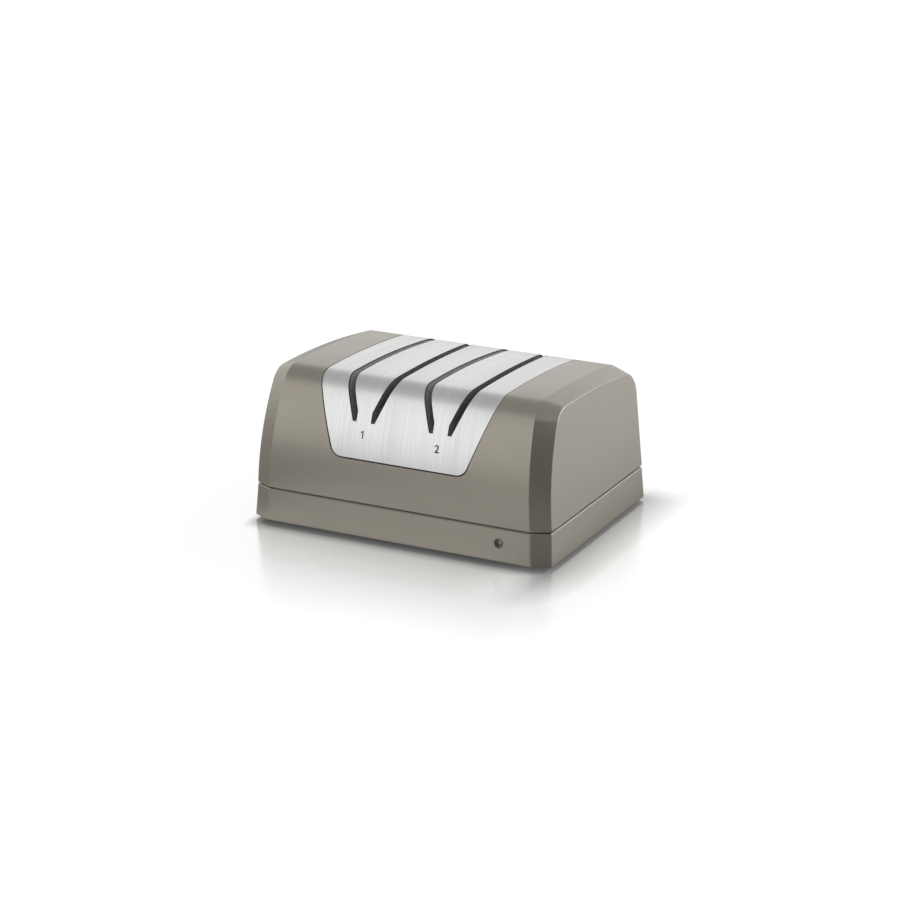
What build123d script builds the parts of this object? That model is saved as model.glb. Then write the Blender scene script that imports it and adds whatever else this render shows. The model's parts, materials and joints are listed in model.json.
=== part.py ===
from build123d import *
import os
from math import acos, atan2, cos, degrees, pi, radians, sin, sqrt, tan

# Cordless two-stage knife sharpener, in millimetres.
# X runs along the length, Y from front to rear, Z up.
# The origin is on the table, under the middle of the base.

# Overall body
length = 220.0
depth = 163.0
foot_proud = 2.0
base_height = 22.0
parting_gap = 0.6
wall = 2.6
floor_thickness = 2.6
end_draft = 3.6
base_draft = 4.5
band_length = 12.5
band_depth = 6.7
band_drop = 4.2
rim_bevel = 0.7

# Side outline of the upper housing, shoulders measured before they are rounded
front_shoulder_height = 104.6
front_shoulder_setback = 20.0
front_bulge = 5.75
front_radius = 18.0
rear_shoulder_fall = 7.6
rear_shoulder_setback = 5.4
rear_radius = 28.0
end_front_radius = 14.0
end_rear_radius = 19.0
top_crown = 2.8
hidden_corner = 0.4
hidden_sides = 24

# Tongue of the base inside the upper housing
ledge_inset = 1.0
lip_height = 3.0
lip_thickness = 1.2
lip_clearance = 0.4

# Steel saddle over front, top and rear
saddle_thickness = 0.7
saddle_half_width = 65.0
saddle_foot_half_width = 47.5
saddle_apron = 23.5
saddle_corner_radius = 8.0
saddle_front_drop = 2.2
saddle_rear_drop = 4.0
saddle_groove = 1.0
saddle_groove_depth = 2.0
saddle_groove_ledge = 0.6
saddle_seat = 0.1

# Blade slots, a pair for each stage, leaning away from each other
stage_offset = 28.0
slot_width = 5.0
slot_tilt = 21.5
slot_reach = 26.6
slot_bottom_offset = 5.4
slot_toe = 6.5
slot_undercut = 0.3

# Blade guides under the saddle
guide_half_width = 24.0
guide_sill = 5.0
guide_skin = 3.4
guide_hook = 3.0
guide_clearance = 0.3
channel_wall = 1.8

# Spindle and hone discs
spindle_radius = 3.0
running_clearance = 0.04
press_clearance = 0.02
disc_share = 25 / 78
disc_rise_in_slot = 1.0
disc_back = 4.0
disc_rim = 2.0
disc_rise = 4.5
disc_nose_radius = 8.0
spring_radius = 4.8
spring_wire = 0.9
spring_sides = 12
spring_end_gap = 0.1
drive_pin_size = 2.0
drive_engagement = 1.5
drive_slot_clearance = 0.2
disc_travel = 1.5
disc_clearance = 1.5

# Pedestals, bushes and push-on clips
pedestal_room = 16.5
pedestal_thickness = 6.0
pedestal_foot = 12.0
pedestal_foot_thickness = 4.0
pedestal_head_radius = 12.0
pedestal_base_width = 44.0
pedestal_screw_spacing = 26.0
pedestal_screw_bite = 2.0
bush_radius = 5.5
clip_radius = 5.4
clip_thickness = 1.2
clip_end_play = 0.2

# Gear pair and motor
gear_module_share = 1 / 20
gear_teeth = 53
pinion_teeth = 13
pressure_angle = 20.0
tooth_addendum = 0.85
tooth_dedendum = 1.15
tooth_backlash = 0.16
gear_width = 7.0
gear_gap = 5.0
pinion_extra_width = 1.0
motor_setback_share = 1.48
motor_share = 0.56
motor_length = 38.0
motor_shaft_tail = 3.0
motor_shaft_radius = 1.5
motor_screw_share = 0.34
motor_plate_share = 0.66

# Screws, with six sides on head, shank and hole
screw_sides = 6
screw_radius = 1.5
screw_head_radius = 3.0
screw_head_height = 2.0
screw_clearance = 0.2
small_screw_radius = 1.25
small_screw_head_radius = 2.3
small_screw_head_height = 1.5
small_screw_bite = 3.5

# Bosses that join the two housings
boss_end_margin = 18.0
boss_side_margin = 29.5
boss_width = 9.2
boss_rise = 6.0
screw_bite = 10.0
screw_seat = 9.0

# Filings bin and its cover in the base
bin_length = 96.0
bin_gap = 6.4
bin_wall = 1.8
bin_height = 16.0
cover_ledge = 2.2
cover_thickness = 1.4
cover_clearance = 0.3
cover_rim_height = 3.0
cover_rim_thickness = 1.5
cover_grip_width = 18.0
cover_grip_depth = 3.0
cover_grip_height = 0.6
magnet_length = 30.0
magnet_share = 0.27
magnet_height = 4.0

# Batteries and their holder
cell_radius = 9.2
cell_length = 65.0
cell_spacing = 19.4
cell_clearance = 0.3
holder_wall = 2.0
holder_floor = 1.6
holder_height = 11.0
battery_x = -20.0
battery_gap = 5.0

# Boards, lamp, charge socket and power button in the base
board_thickness = 1.6
standoff_height = 4.0
standoff_width = 5.0
control_board_length = 30.0
control_board_depth = 28.0
control_board_gap = 5.0
control_board_offset = 7.4
lamp_end_margin = 35.6
lamp_height = 14.2
lamp_recess_radius = 3.15
lamp_recess_depth = 2.2
lens_radius = 2.5
lens_clearance = 0.08
led_radius = 2.0
led_length = 4.0
led_block = 6.0
rear_fitting_margin = 36.0
rear_fitting_height = 13.4
socket_width = 8.9
socket_height = 3.2
socket_shell = 0.4
socket_depth = 7.4
socket_tongue_height = 0.7
socket_tongue_width = 6.7
socket_margin = 0.6
charge_board_length = 24.0
charge_board_depth = 16.0
button_radius = 5.0
button_clearance = 0.15
button_proud = 0.7
button_flange_reach = 6.4
button_flange = 1.0
button_travel = 1.2
button_edge = 0.4
switch_width = 13.0
switch_depth = 10.0

# Feet
foot_length = 18.0
foot_width = 14.0
foot_corner = 3.0
foot_recess = 1.0
foot_clearance = 0.2
foot_end_margin = 17.0
foot_side_margin = 15.5

# Worked out from the sizes above
half_length = length / 2
half_depth = depth / 2
end_lean = radians(end_draft)
base_lean = radians(base_draft)
base_bottom = foot_proud
base_top = base_bottom + base_height
housing_bottom = base_top + parting_gap
floor_top = base_bottom + floor_thickness
lip_top = housing_bottom + lip_height
lip_inset = wall + lip_clearance
hollow_inset = lip_inset + lip_thickness
waist_half_depth = half_depth - base_height * tan(base_lean)
boss_bottom = housing_bottom + boss_rise
guide_face = saddle_thickness + saddle_seat
sight_line = front_shoulder_height + top_crown + wall
rear_shoulder_height = front_shoulder_height - rear_shoulder_fall
saddle_front_shoulder = front_shoulder_height - saddle_front_drop
saddle_rear_shoulder = rear_shoulder_height - saddle_rear_drop
slot_bottom = front_shoulder_height - slot_reach
saddle_bottom = slot_bottom - saddle_apron
guide_bottom = slot_bottom - guide_sill
disc_radius = slot_bottom * disc_share
spindle_height = slot_bottom - disc_radius + disc_rise_in_slot
stages = (-stage_offset, stage_offset)
disc_nose = disc_back + disc_rim + disc_rise
drive_slot_depth = disc_travel + drive_engagement
drive_pin_offset = disc_nose - drive_slot_depth + (drive_pin_size + drive_slot_clearance) / 2
pedestal_inner_face = stage_offset + disc_nose + pedestal_room
pedestal_outer_face = pedestal_inner_face + pedestal_thickness
gear_face = pedestal_outer_face + gear_gap
gear_module = disc_radius * gear_module_share
gear_centres = gear_module * (gear_teeth + pinion_teeth) / 2
motor_radius = disc_radius * motor_share
motor_plate_radius = disc_radius * motor_plate_share
motor_setback = disc_radius * motor_setback_share
motor_screw_offset = disc_radius * motor_screw_share
motor_height = spindle_height - sqrt(gear_centres**2 - motor_setback**2)
mesh_angle = degrees(atan2(motor_height - spindle_height, motor_setback))
motor_screw_spots = [(motor_setback, motor_height + side * motor_screw_offset) for side in (-1, 1)]
boss_x = half_length - boss_end_margin
boss_y = half_depth - boss_side_margin
foot_x = half_length - foot_end_margin
foot_y = half_depth - foot_side_margin
lamp_x = half_length - lamp_end_margin
control_board_x = lamp_x - control_board_offset
rear_fitting_x = half_length - rear_fitting_margin
boss_spots = [(x, y) for x in (-boss_x, boss_x) for y in (-boss_y, boss_y)]
foot_spots = [(x, y) for x in (-foot_x, foot_x) for y in (-foot_y, foot_y)]
board_bottom = floor_top + standoff_height
board_top = board_bottom + board_thickness


def face_depth(height):
    """Half the depth of the base, from the middle to its front or rear face, at a height."""
    return half_depth - (height - base_bottom) * tan(base_lean)


def plan_outline(height, inset):
    """Long octagon of the base at a height, drawn inside its outer faces by an inset."""
    x = half_length - (height - base_bottom) * tan(end_lean) - inset
    y = face_depth(height) - inset
    with BuildSketch(Plane.XY.offset(height)) as outline:
        with BuildLine():
            Polyline((x, 0), (x, y - band_depth), (x - band_length, y), (0, y))
            mirror(about=Plane.YZ)
            mirror(about=Plane.XZ)
        make_face()
    return outline.sketch


def side_section(plane, stretch, inset, drop, radii, bottom, hidden=False):
    """Side outline of the upper housing, inside its faces by an inset and a drop; straight if hidden."""
    front = inset - waist_half_depth
    rear = waist_half_depth - inset
    low = (bottom - base_bottom) * stretch
    front_shoulder = (front + front_shoulder_setback, (front_shoulder_height - drop - base_bottom) * stretch)
    rear_shoulder = (rear - rear_shoulder_setback, (rear_shoulder_height - drop - base_bottom) * stretch)
    front_arc = SagittaArc((front, low), front_shoulder, front_bulge)
    top_arc = SagittaArc(front_shoulder, rear_shoulder, top_crown)
    with BuildSketch(plane) as outline:
        with BuildLine():
            if hidden:
                Polyline((front, low), front_arc @ 0.5, front_shoulder, top_arc @ 0.5, rear_shoulder)
            else:
                add(front_arc)
                add(top_arc)
            Polyline(rear_shoulder, (rear, low), (front, low))
        make_face()
        for shoulder, radius in zip((front_shoulder, rear_shoulder), radii):
            corner = outline.vertices().sort_by_distance(shoulder)[0]
            if hidden:
                chamfer(corner, hidden_corner * radius)
            else:
                fillet(corner, radius)
    return outline.sketch


def wrap_section(inset, x=0.0, bottom=housing_bottom, hidden=False):
    """Side outline on an upright plane at x, inside the front, top and rear faces by an inset."""
    plane = Plane(origin=(x, 0, base_bottom), x_dir=(0, 1, 0), z_dir=(1, 0, 0))
    radii = (front_radius - inset, rear_radius - inset)
    return side_section(plane, 1, inset, inset, radii, bottom, hidden)


def end_plane(side, setback):
    """Plane parallel to one drafted end face, set back from it along X."""
    return Plane(
        origin=(side * (half_length - setback), 0, base_bottom),
        x_dir=(0, 1, 0),
        z_dir=(cos(end_lean), 0, side * sin(end_lean)),
    )


def housing_form(inset, bottom, hidden=False):
    """Form of the upper housing, drawn inside its faces by an inset: a middle and two corner bands."""
    with BuildPart() as form:
        extrude(wrap_section(inset, 0, bottom, hidden), amount=half_length, both=True)
        split(bisect_by=end_plane(-1, inset + band_length), keep=Keep.TOP)
        split(bisect_by=end_plane(1, inset + band_length), keep=Keep.BOTTOM)
        ends = form.faces().sort_by(Axis.X)
        for side, band_face in ((-1, ends[0]), (1, ends[-1])):
            end_inset = (inset + band_depth, inset + band_drop)
            end_radii = (end_front_radius - inset, end_rear_radius - inset)
            end_sheet = end_plane(side, inset)
            end_face = side_section(end_sheet, 1 / cos(end_lean), *end_inset, end_radii, bottom, hidden)
            loft([band_face, end_face], ruled=True)
    return form.part


def saddle_envelope(grow):
    """Space through which the saddle shows: square on top, narrowing down the front and the rear."""
    top_half = saddle_half_width + grow
    foot_half = saddle_foot_half_width + grow
    low = saddle_bottom - grow
    with BuildPart() as envelope:
        for reach, shoulder in ((depth, saddle_front_shoulder), (-depth, saddle_rear_shoulder)):
            with BuildSketch(Plane.XZ) as face:
                with BuildLine():
                    Polyline(
                        (0, low),
                        (foot_half, low),
                        (top_half, shoulder),
                        (top_half, sight_line),
                        (0, sight_line),
                    )
                    mirror(about=Plane.YZ)
                make_face()
                fillet(face.vertices().group_by(Axis.Y)[0], saddle_corner_radius + grow)
            extrude(amount=reach)
    return envelope.part


def slot_outline(stage, hand, grow, low):
    """Front view of one blade slot: a leaning strip whose inner edge turns upright near the bottom."""
    lean = tan(radians(slot_tilt))
    half = (slot_width / 2 + grow) / cos(radians(slot_tilt))
    toe = slot_bottom + slot_toe

    def edge(height, side):
        return stage + hand * (slot_bottom_offset + (height - slot_bottom) * lean + side * half)

    with BuildSketch(Plane.XZ) as outline:
        with BuildLine():
            Polyline(
                (edge(low, 1), low),
                (edge(sight_line, 1), sight_line),
                (edge(sight_line, -1), sight_line),
                (edge(toe, -1), toe),
                (edge(toe, -1), low),
                close=True,
            )
        make_face()
    return outline.sketch


def spindle_plane(x):
    """Upright plane along the spindle, its local x along X from a point on the spindle axis."""
    return Plane(origin=(x, 0, spindle_height), x_dir=(1, 0, 0), z_dir=(0, -1, 0))


def cross_plane(x, y=0.0, z=0.0):
    """Plane square to the spindle at x, its local x along Y and its local y along Z."""
    return Plane(origin=(x, y, z), x_dir=(0, 1, 0), z_dir=(1, 0, 0))


def wall_plane(x, y, z):
    """Upright plane parallel to the front, facing the rear, its local x along -X."""
    return Plane(origin=(x, y, z), x_dir=(-1, 0, 0), z_dir=(0, 1, 0))


# Upper housing: a moulded shell with a recess and an edge channel for the saddle, windows and screw bosses
with BuildPart() as housing_hollow:
    add(housing_form(wall, base_top, hidden=True))
    with BuildSketch(Plane.XY.offset(boss_bottom)):
        with Locations(*boss_spots):
            Rectangle(boss_width, boss_width)
    extrude(amount=sight_line, mode=Mode.SUBTRACT)

with BuildPart() as saddle_recess:
    extrude(wrap_section(-wall), amount=half_length, both=True)
    extrude(wrap_section(guide_face), amount=length, both=True, mode=Mode.SUBTRACT)
    add(saddle_envelope(saddle_groove), mode=Mode.INTERSECT)

with BuildPart() as saddle_channel:
    extrude(wrap_section(-wall), amount=half_length, both=True)
    extrude(wrap_section(saddle_groove_depth), amount=length, both=True, mode=Mode.SUBTRACT)
    add(saddle_envelope(saddle_groove), mode=Mode.INTERSECT)
    add(saddle_envelope(-saddle_groove_ledge), mode=Mode.SUBTRACT)

with BuildPart() as upper_housing:
    add(housing_form(0, housing_bottom))
    add(housing_hollow.part, mode=Mode.SUBTRACT)
    add(saddle_recess.part, mode=Mode.SUBTRACT)
    add(saddle_channel.part, mode=Mode.SUBTRACT)
    for stage in stages:
        with BuildSketch(Plane.XZ):
            with Locations((stage, guide_bottom - guide_clearance)):
                Rectangle(
                    2 * (guide_half_width + guide_clearance), sight_line, align=(Align.CENTER, Align.MIN)
                )
        extrude(amount=depth, both=True, mode=Mode.SUBTRACT)
    with BuildSketch(Plane.XY.offset(boss_bottom)):
        with Locations(*boss_spots):
            RegularPolygon(screw_radius, screw_sides)
    extrude(amount=screw_bite, mode=Mode.SUBTRACT)

# Steel saddle, bent over the front, top and rear, with the blade slots cut through
with BuildPart() as steel_saddle:
    extrude(wrap_section(0), amount=half_length, both=True)
    extrude(wrap_section(saddle_thickness), amount=length, both=True, mode=Mode.SUBTRACT)
    add(saddle_envelope(0), mode=Mode.INTERSECT)
    for stage in stages:
        for hand in (-1, 1):
            extrude(slot_outline(stage, hand, 0, slot_bottom), amount=depth, both=True, mode=Mode.SUBTRACT)


# Blade guides: an insert behind the saddle for each stage, its channels a little wider than the steel's slots
def guide_channels(stage):
    """The two channel walls of a guide, filled, up to the underside of the saddle."""
    low = slot_bottom - channel_wall
    with BuildPart() as channels:
        for hand in (-1, 1):
            channel = slot_outline(stage, hand, slot_undercut + channel_wall, low)
            extrude(channel, amount=depth, both=True)
        extrude(wrap_section(guide_face, stage), amount=half_length, both=True, mode=Mode.INTERSECT)
    return channels.part


def make_blade_guide(stage):
    """One blade guide for the stage centred at an x, hooked behind the lower edges of its windows."""
    with BuildPart() as guide:
        extrude(wrap_section(guide_face, stage), amount=guide_half_width, both=True)
        split(bisect_by=Plane.XY.offset(guide_bottom), keep=Keep.TOP)
        with BuildPart(mode=Mode.PRIVATE) as hooks:
            hook_section = wrap_section(wall + guide_clearance, stage, hidden=True)
            extrude(hook_section, amount=guide_half_width, both=True)
            split(bisect_by=Plane.XY.offset(guide_bottom - guide_hook), keep=Keep.TOP)
        add(hooks.part)
        inner_section = wrap_section(guide_face + guide_skin, stage, hidden=True)
        extrude(inner_section, amount=half_length, both=True, mode=Mode.SUBTRACT)
        add(guide_channels(stage))
        for hand in (-1, 1):
            slot = slot_outline(stage, hand, slot_undercut, slot_bottom)
            extrude(slot, amount=depth, both=True, mode=Mode.SUBTRACT)
        with BuildSketch(cross_plane(stage, 0, spindle_height)):
            Circle(disc_radius + disc_clearance)
        extrude(amount=guide_half_width - channel_wall, both=True, mode=Mode.SUBTRACT)
    return guide


blade_guide_1, blade_guide_2 = (make_blade_guide(stage) for stage in stages)


# Hone discs: each has a flat back for the spring, a coned abrasive face and a drive slot across its nose
def make_disc(stage, hand):
    """One disc of a pair, facing away from the middle of its stage, its circles drawn as many flats."""
    back_plane = cross_plane(stage + hand * disc_back, 0, spindle_height)
    disc_length = hand * (disc_nose - disc_back)
    flat_inset = (disc_radius - disc_nose_radius) * cos(pi / hidden_sides)
    with BuildPart() as disc:
        with BuildSketch(back_plane):
            RegularPolygon(disc_radius, hidden_sides)
        extrude(amount=disc_length)
        nose = disc.faces().sort_by(Axis.X, reverse=hand > 0)[0]
        chamfer(nose.edges(), length=flat_inset, length2=disc_rise, reference=nose)
        with BuildSketch(back_plane):
            Circle(spindle_radius + running_clearance)
        extrude(amount=disc_length, mode=Mode.SUBTRACT)
        with BuildSketch(spindle_plane(stage + hand * disc_nose)):
            Rectangle(2 * drive_slot_depth, drive_pin_size + 2 * drive_slot_clearance)
        extrude(amount=disc_nose_radius, both=True, mode=Mode.SUBTRACT)
    return disc


sharpening_disc_left, sharpening_disc_right = (make_disc(-stage_offset, hand) for hand in (-1, 1))
polishing_disc_left, polishing_disc_right = (make_disc(stage_offset, hand) for hand in (-1, 1))


# Springs that push the discs of a pair apart, as plain sleeves
def make_spring(stage):
    """The spring of one pair, reaching from one disc's back to the other's."""
    with BuildPart() as spring:
        with BuildSketch(cross_plane(stage, 0, spindle_height)):
            RegularPolygon(spring_radius + spring_wire / 2, spring_sides)
            RegularPolygon(spring_radius - spring_wire / 2, spring_sides, mode=Mode.SUBTRACT)
        extrude(amount=disc_back - spring_end_gap, both=True)
    return spring


disc_spring_1, disc_spring_2 = (make_spring(stage) for stage in stages)

# Spindle with cross slots for the square drive pins
clip_inner = pedestal_outer_face + clip_end_play
spindle_start = -clip_inner - 2 * clip_thickness
spindle_end = gear_face + gear_width
drive_pin_spots = [(stage + hand * drive_pin_offset, 0) for stage in stages for hand in (-1, 1)]

with BuildPart() as spindle:
    with BuildSketch(cross_plane(spindle_start, 0, spindle_height)):
        Circle(spindle_radius)
    extrude(amount=spindle_end - spindle_start)
    with BuildSketch(spindle_plane(0)):
        with Locations(*drive_pin_spots):
            Rectangle(drive_pin_size + 2 * press_clearance, drive_pin_size + 2 * press_clearance)
    extrude(amount=disc_nose_radius, both=True, mode=Mode.SUBTRACT)

with BuildPart() as drive_pins:
    with BuildSketch(spindle_plane(0)):
        with Locations(*drive_pin_spots):
            Rectangle(drive_pin_size, drive_pin_size)
    extrude(amount=disc_nose_radius - drive_slot_clearance, both=True)

# Push-on clips outside the pedestals
with BuildPart() as spindle_clips:
    for side in (-1, 1):
        with BuildSketch(cross_plane(side * (clip_inner + clip_thickness / 2), 0, spindle_height)):
            RegularPolygon(clip_radius, screw_sides)
            Circle(spindle_radius + press_clearance, mode=Mode.SUBTRACT)
        extrude(amount=clip_thickness / 2, both=True)

# Bushes, six-sided so that they cannot turn in the pedestals
with BuildPart() as spindle_bushes:
    for side in (-1, 1):
        with BuildSketch(cross_plane(side * pedestal_inner_face, 0, spindle_height)):
            RegularPolygon(bush_radius, screw_sides)
            Circle(spindle_radius + running_clearance, mode=Mode.SUBTRACT)
        extrude(amount=side * pedestal_thickness)


# Pedestals that carry the spindle, the right one wide enough to carry the motor
def make_pedestal(side, carries_motor):
    """One upright plate with a screwed foot on its outer side."""
    foot_middle = side * (pedestal_outer_face + pedestal_foot / 2)
    with BuildPart() as pedestal:
        with BuildSketch(cross_plane(side * (pedestal_inner_face + pedestal_thickness / 2))):
            with Locations((0, spindle_height)):
                RegularPolygon(pedestal_head_radius, 2 * screw_sides)
            with Locations((0, floor_top + pedestal_foot_thickness / 2)):
                Rectangle(pedestal_base_width, pedestal_foot_thickness)
            if carries_motor:
                with Locations((motor_setback, motor_height)):
                    RegularPolygon(motor_plate_radius, 2 * screw_sides)
            make_hull()
            with Locations((0, spindle_height)):
                RegularPolygon(bush_radius + press_clearance, screw_sides, mode=Mode.SUBTRACT)
            if carries_motor:
                with Locations((motor_setback, motor_height)):
                    RegularPolygon(bush_radius, screw_sides, mode=Mode.SUBTRACT)
                with Locations(*motor_screw_spots):
                    RegularPolygon(small_screw_radius + screw_clearance, screw_sides, mode=Mode.SUBTRACT)
        extrude(amount=pedestal_thickness / 2, both=True)
        with BuildSketch(Plane.XY.offset(floor_top)):
            with Locations((foot_middle, 0)):
                Rectangle(pedestal_foot, pedestal_base_width)
        extrude(amount=pedestal_foot_thickness)
        with BuildSketch(Plane.XY.offset(floor_top)):
            with Locations((foot_middle, 0)):
                with GridLocations(0, pedestal_screw_spacing, 1, 2):
                    RegularPolygon(screw_radius + screw_clearance, screw_sides)
        extrude(amount=pedestal_foot_thickness, mode=Mode.SUBTRACT)
    return pedestal


left_pedestal = make_pedestal(-1, False)
motor_pedestal = make_pedestal(1, True)


# Gear pair: each flank is drawn straight from the foot to the tip of its involute
def gear_outline(plane, teeth, phase):
    """Toothed outline on a plane, with one tooth centred at the phase angle."""
    pitch_radius = gear_module * teeth / 2
    base_radius = pitch_radius * cos(radians(pressure_angle))
    tip_radius = pitch_radius + tooth_addendum * gear_module
    root_radius = pitch_radius - tooth_dedendum * gear_module
    start_radius = max(base_radius, root_radius)

    def involute(radius):
        pressure = acos(base_radius / radius)
        return tan(pressure) - pressure

    def half_tooth(radius):
        space = tooth_backlash / 4 / pitch_radius
        return pi / 2 / teeth - space + involute(pitch_radius) - involute(radius)

    flank = [(radius, half_tooth(radius)) for radius in (start_radius, tip_radius)]
    if root_radius < start_radius:
        flank.insert(0, (root_radius, half_tooth(start_radius)))
    tooth = [(radius, -angle) for radius, angle in flank] + flank[::-1]
    pitch_angle = 2 * pi / teeth
    turns = [radians(phase) + pitch_angle * number for number in range(teeth)]
    corners = [(radius, turn + angle) for turn in turns for radius, angle in tooth]
    with BuildSketch(plane) as outline:
        with BuildLine():
            Polyline(*[(radius * cos(angle), radius * sin(angle)) for radius, angle in corners], close=True)
        make_face()
    return outline.sketch


gear_plane = cross_plane(gear_face, 0, spindle_height)

with BuildPart() as spindle_gear:
    extrude(gear_outline(gear_plane, gear_teeth, mesh_angle), amount=gear_width)
    with BuildSketch(gear_plane):
        Circle(spindle_radius + press_clearance)
    extrude(amount=gear_width, mode=Mode.SUBTRACT)

pinion_face = gear_face - pinion_extra_width
pinion_width = gear_width + 2 * pinion_extra_width
pinion_plane = cross_plane(pinion_face, motor_setback, motor_height)

with BuildPart() as motor_pinion:
    pinion_phase = mesh_angle + 180 + 180 / pinion_teeth
    extrude(gear_outline(pinion_plane, pinion_teeth, pinion_phase), amount=pinion_width)
    with BuildSketch(pinion_plane):
        Circle(motor_shaft_radius + press_clearance)
    extrude(amount=pinion_width, mode=Mode.SUBTRACT)

# Motor: a drawn can screwed to the pedestal, and its own shaft
motor_back = pedestal_inner_face - motor_length
motor_plane = cross_plane(motor_back, motor_setback, motor_height)

with BuildPart() as motor:
    with BuildSketch(motor_plane):
        RegularPolygon(motor_radius, hidden_sides)
    extrude(amount=motor_length)
    with BuildSketch(motor_plane):
        Circle(motor_shaft_radius + running_clearance)
    extrude(amount=motor_length, mode=Mode.SUBTRACT)
    with BuildSketch(cross_plane(pedestal_inner_face)):
        with Locations(*motor_screw_spots):
            RegularPolygon(small_screw_radius, screw_sides)
    extrude(amount=-small_screw_bite, mode=Mode.SUBTRACT)

with BuildPart() as motor_shaft:
    with BuildSketch(motor_plane.offset(-motor_shaft_tail)):
        Circle(motor_shaft_radius)
    extrude(amount=pinion_face + pinion_width + motor_shaft_tail - motor_back)


# The battery stands between the front wall and the filings bin, which takes the room that is left
holder_depth = cell_spacing + 2 * (cell_radius + holder_wall)
battery_y = hollow_inset + battery_gap + holder_depth / 2 - face_depth(floor_top)
bin_depth = -2 * (battery_y + holder_depth / 2 + bin_gap + bin_wall)
magnet_depth = bin_depth * magnet_share


# Base tray: drafted walls, a tongue for the upper housing, screw pillars, filings bin and wall openings
def bin_outline(grow, height):
    """Rectangle of the filings bin, larger by a margin all round, at a height."""
    with BuildSketch(Plane.XY.offset(height)) as outline:
        Rectangle(bin_length + 2 * grow, bin_depth + 2 * grow)
    return outline.sketch


def foot_outline(grow, height):
    """The four feet from above, with cut corners, larger by a margin all round, at a height."""
    with BuildSketch(Plane.XY.offset(height)) as outline:
        with Locations(*foot_spots):
            Rectangle(foot_length + 2 * grow, foot_width + 2 * grow)
        chamfer(outline.vertices(), foot_corner)
    return outline.sketch


control_board_front = hollow_inset + control_board_gap - face_depth(board_bottom)
control_board_middle = (control_board_x, control_board_front + control_board_depth / 2)
fitting_inside = face_depth(rear_fitting_height + button_flange_reach) - hollow_inset
charge_board_rear = fitting_inside - lip_clearance
charge_board_middle = (rear_fitting_x, charge_board_rear - charge_board_depth / 2)
standoff_spots = [
    (middle[0] + side * ((board_length - standoff_width) / 2), middle[1])
    for middle, board_length in (
        (control_board_middle, control_board_length),
        (charge_board_middle, charge_board_length),
    )
    for side in (-1, 1)
]
lamp_plane = wall_plane(lamp_x, -face_depth(lamp_height), lamp_height)
socket_plane = wall_plane(rear_fitting_x, charge_board_rear, rear_fitting_height)
button_face = face_depth(rear_fitting_height) + button_proud
button_plane = wall_plane(-rear_fitting_x, button_face, rear_fitting_height)
pedestal_screw_x = pedestal_outer_face + pedestal_foot / 2

with BuildPart() as base_tray:
    loft([plan_outline(base_bottom, 0), plan_outline(base_top, 0)], ruled=True)
    chamfer(base_tray.faces().sort_by(Axis.Z)[-1].edges(), rim_bevel)
    extrude(plan_outline(base_top, ledge_inset), amount=parting_gap)
    extrude(plan_outline(housing_bottom, lip_inset), amount=lip_height)
    hollow = [plan_outline(height, hollow_inset) for height in (floor_top, lip_top)]
    loft(hollow, ruled=True, mode=Mode.SUBTRACT)
    extrude(bin_outline(bin_wall, floor_top), amount=bin_height)
    with BuildSketch(Plane.XY.offset(floor_top)):
        with Locations(*boss_spots):
            Rectangle(boss_width, boss_width)
    extrude(amount=boss_bottom - floor_top)
    with BuildSketch(Plane.XY.offset(floor_top)):
        with Locations(*standoff_spots):
            Rectangle(standoff_width, standoff_width)
    extrude(amount=standoff_height)
    extrude(bin_outline(0, base_bottom), amount=bin_height + floor_thickness, mode=Mode.SUBTRACT)
    extrude(bin_outline(cover_ledge, base_bottom), amount=cover_thickness, mode=Mode.SUBTRACT)
    with BuildSketch(Plane.XY.offset(base_bottom)):
        with Locations(*boss_spots):
            RegularPolygon(screw_radius + screw_clearance, screw_sides)
    extrude(amount=boss_bottom, mode=Mode.SUBTRACT)
    with BuildSketch(Plane.XY.offset(floor_top)):
        with GridLocations(2 * pedestal_screw_x, pedestal_screw_spacing, 2, 2):
            RegularPolygon(screw_radius, screw_sides)
    extrude(amount=-pedestal_screw_bite, mode=Mode.SUBTRACT)
    with BuildSketch(Plane.XY.offset(base_bottom)):
        with Locations(*boss_spots):
            RegularPolygon(screw_head_radius + screw_clearance, screw_sides)
    extrude(amount=screw_seat, mode=Mode.SUBTRACT)
    extrude(foot_outline(foot_clearance, base_bottom), amount=foot_recess, mode=Mode.SUBTRACT)
    with BuildSketch(lamp_plane):
        Circle(lens_radius + lens_clearance)
    extrude(amount=2 * hollow_inset, both=True, mode=Mode.SUBTRACT)
    with BuildSketch(lamp_plane):
        Circle(lamp_recess_radius)
    extrude(amount=lamp_recess_depth, both=True, mode=Mode.SUBTRACT)
    with BuildSketch(socket_plane):
        SlotOverall(socket_width + 2 * socket_margin, socket_height + 2 * socket_margin)
    extrude(amount=2 * hollow_inset, mode=Mode.SUBTRACT)
    with BuildSketch(button_plane):
        Circle(button_radius + button_clearance)
    extrude(amount=-2 * hollow_inset, mode=Mode.SUBTRACT)

# Clean-out cover under the filings bin, with a locating rim, and the magnet that holds the filings
with BuildPart() as clean_out_cover:
    extrude(bin_outline(cover_ledge - cover_clearance, base_bottom), amount=cover_thickness - saddle_seat)
    extrude(bin_outline(-cover_clearance, base_bottom), amount=cover_thickness + cover_rim_height)
    extrude(
        bin_outline(-cover_clearance - cover_rim_thickness, base_bottom + cover_thickness),
        amount=cover_rim_height,
        mode=Mode.SUBTRACT,
    )
    with BuildSketch(Plane.XY.offset(base_bottom)):
        with Locations((0, cover_grip_depth - bin_depth / 2)):
            SlotOverall(cover_grip_width, cover_grip_depth)
    extrude(amount=cover_grip_height, mode=Mode.SUBTRACT)

with BuildPart() as filings_magnet:
    with BuildSketch(Plane.XY.offset(base_bottom + cover_thickness)):
        Rectangle(magnet_length, magnet_depth)
    extrude(amount=magnet_height)

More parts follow.
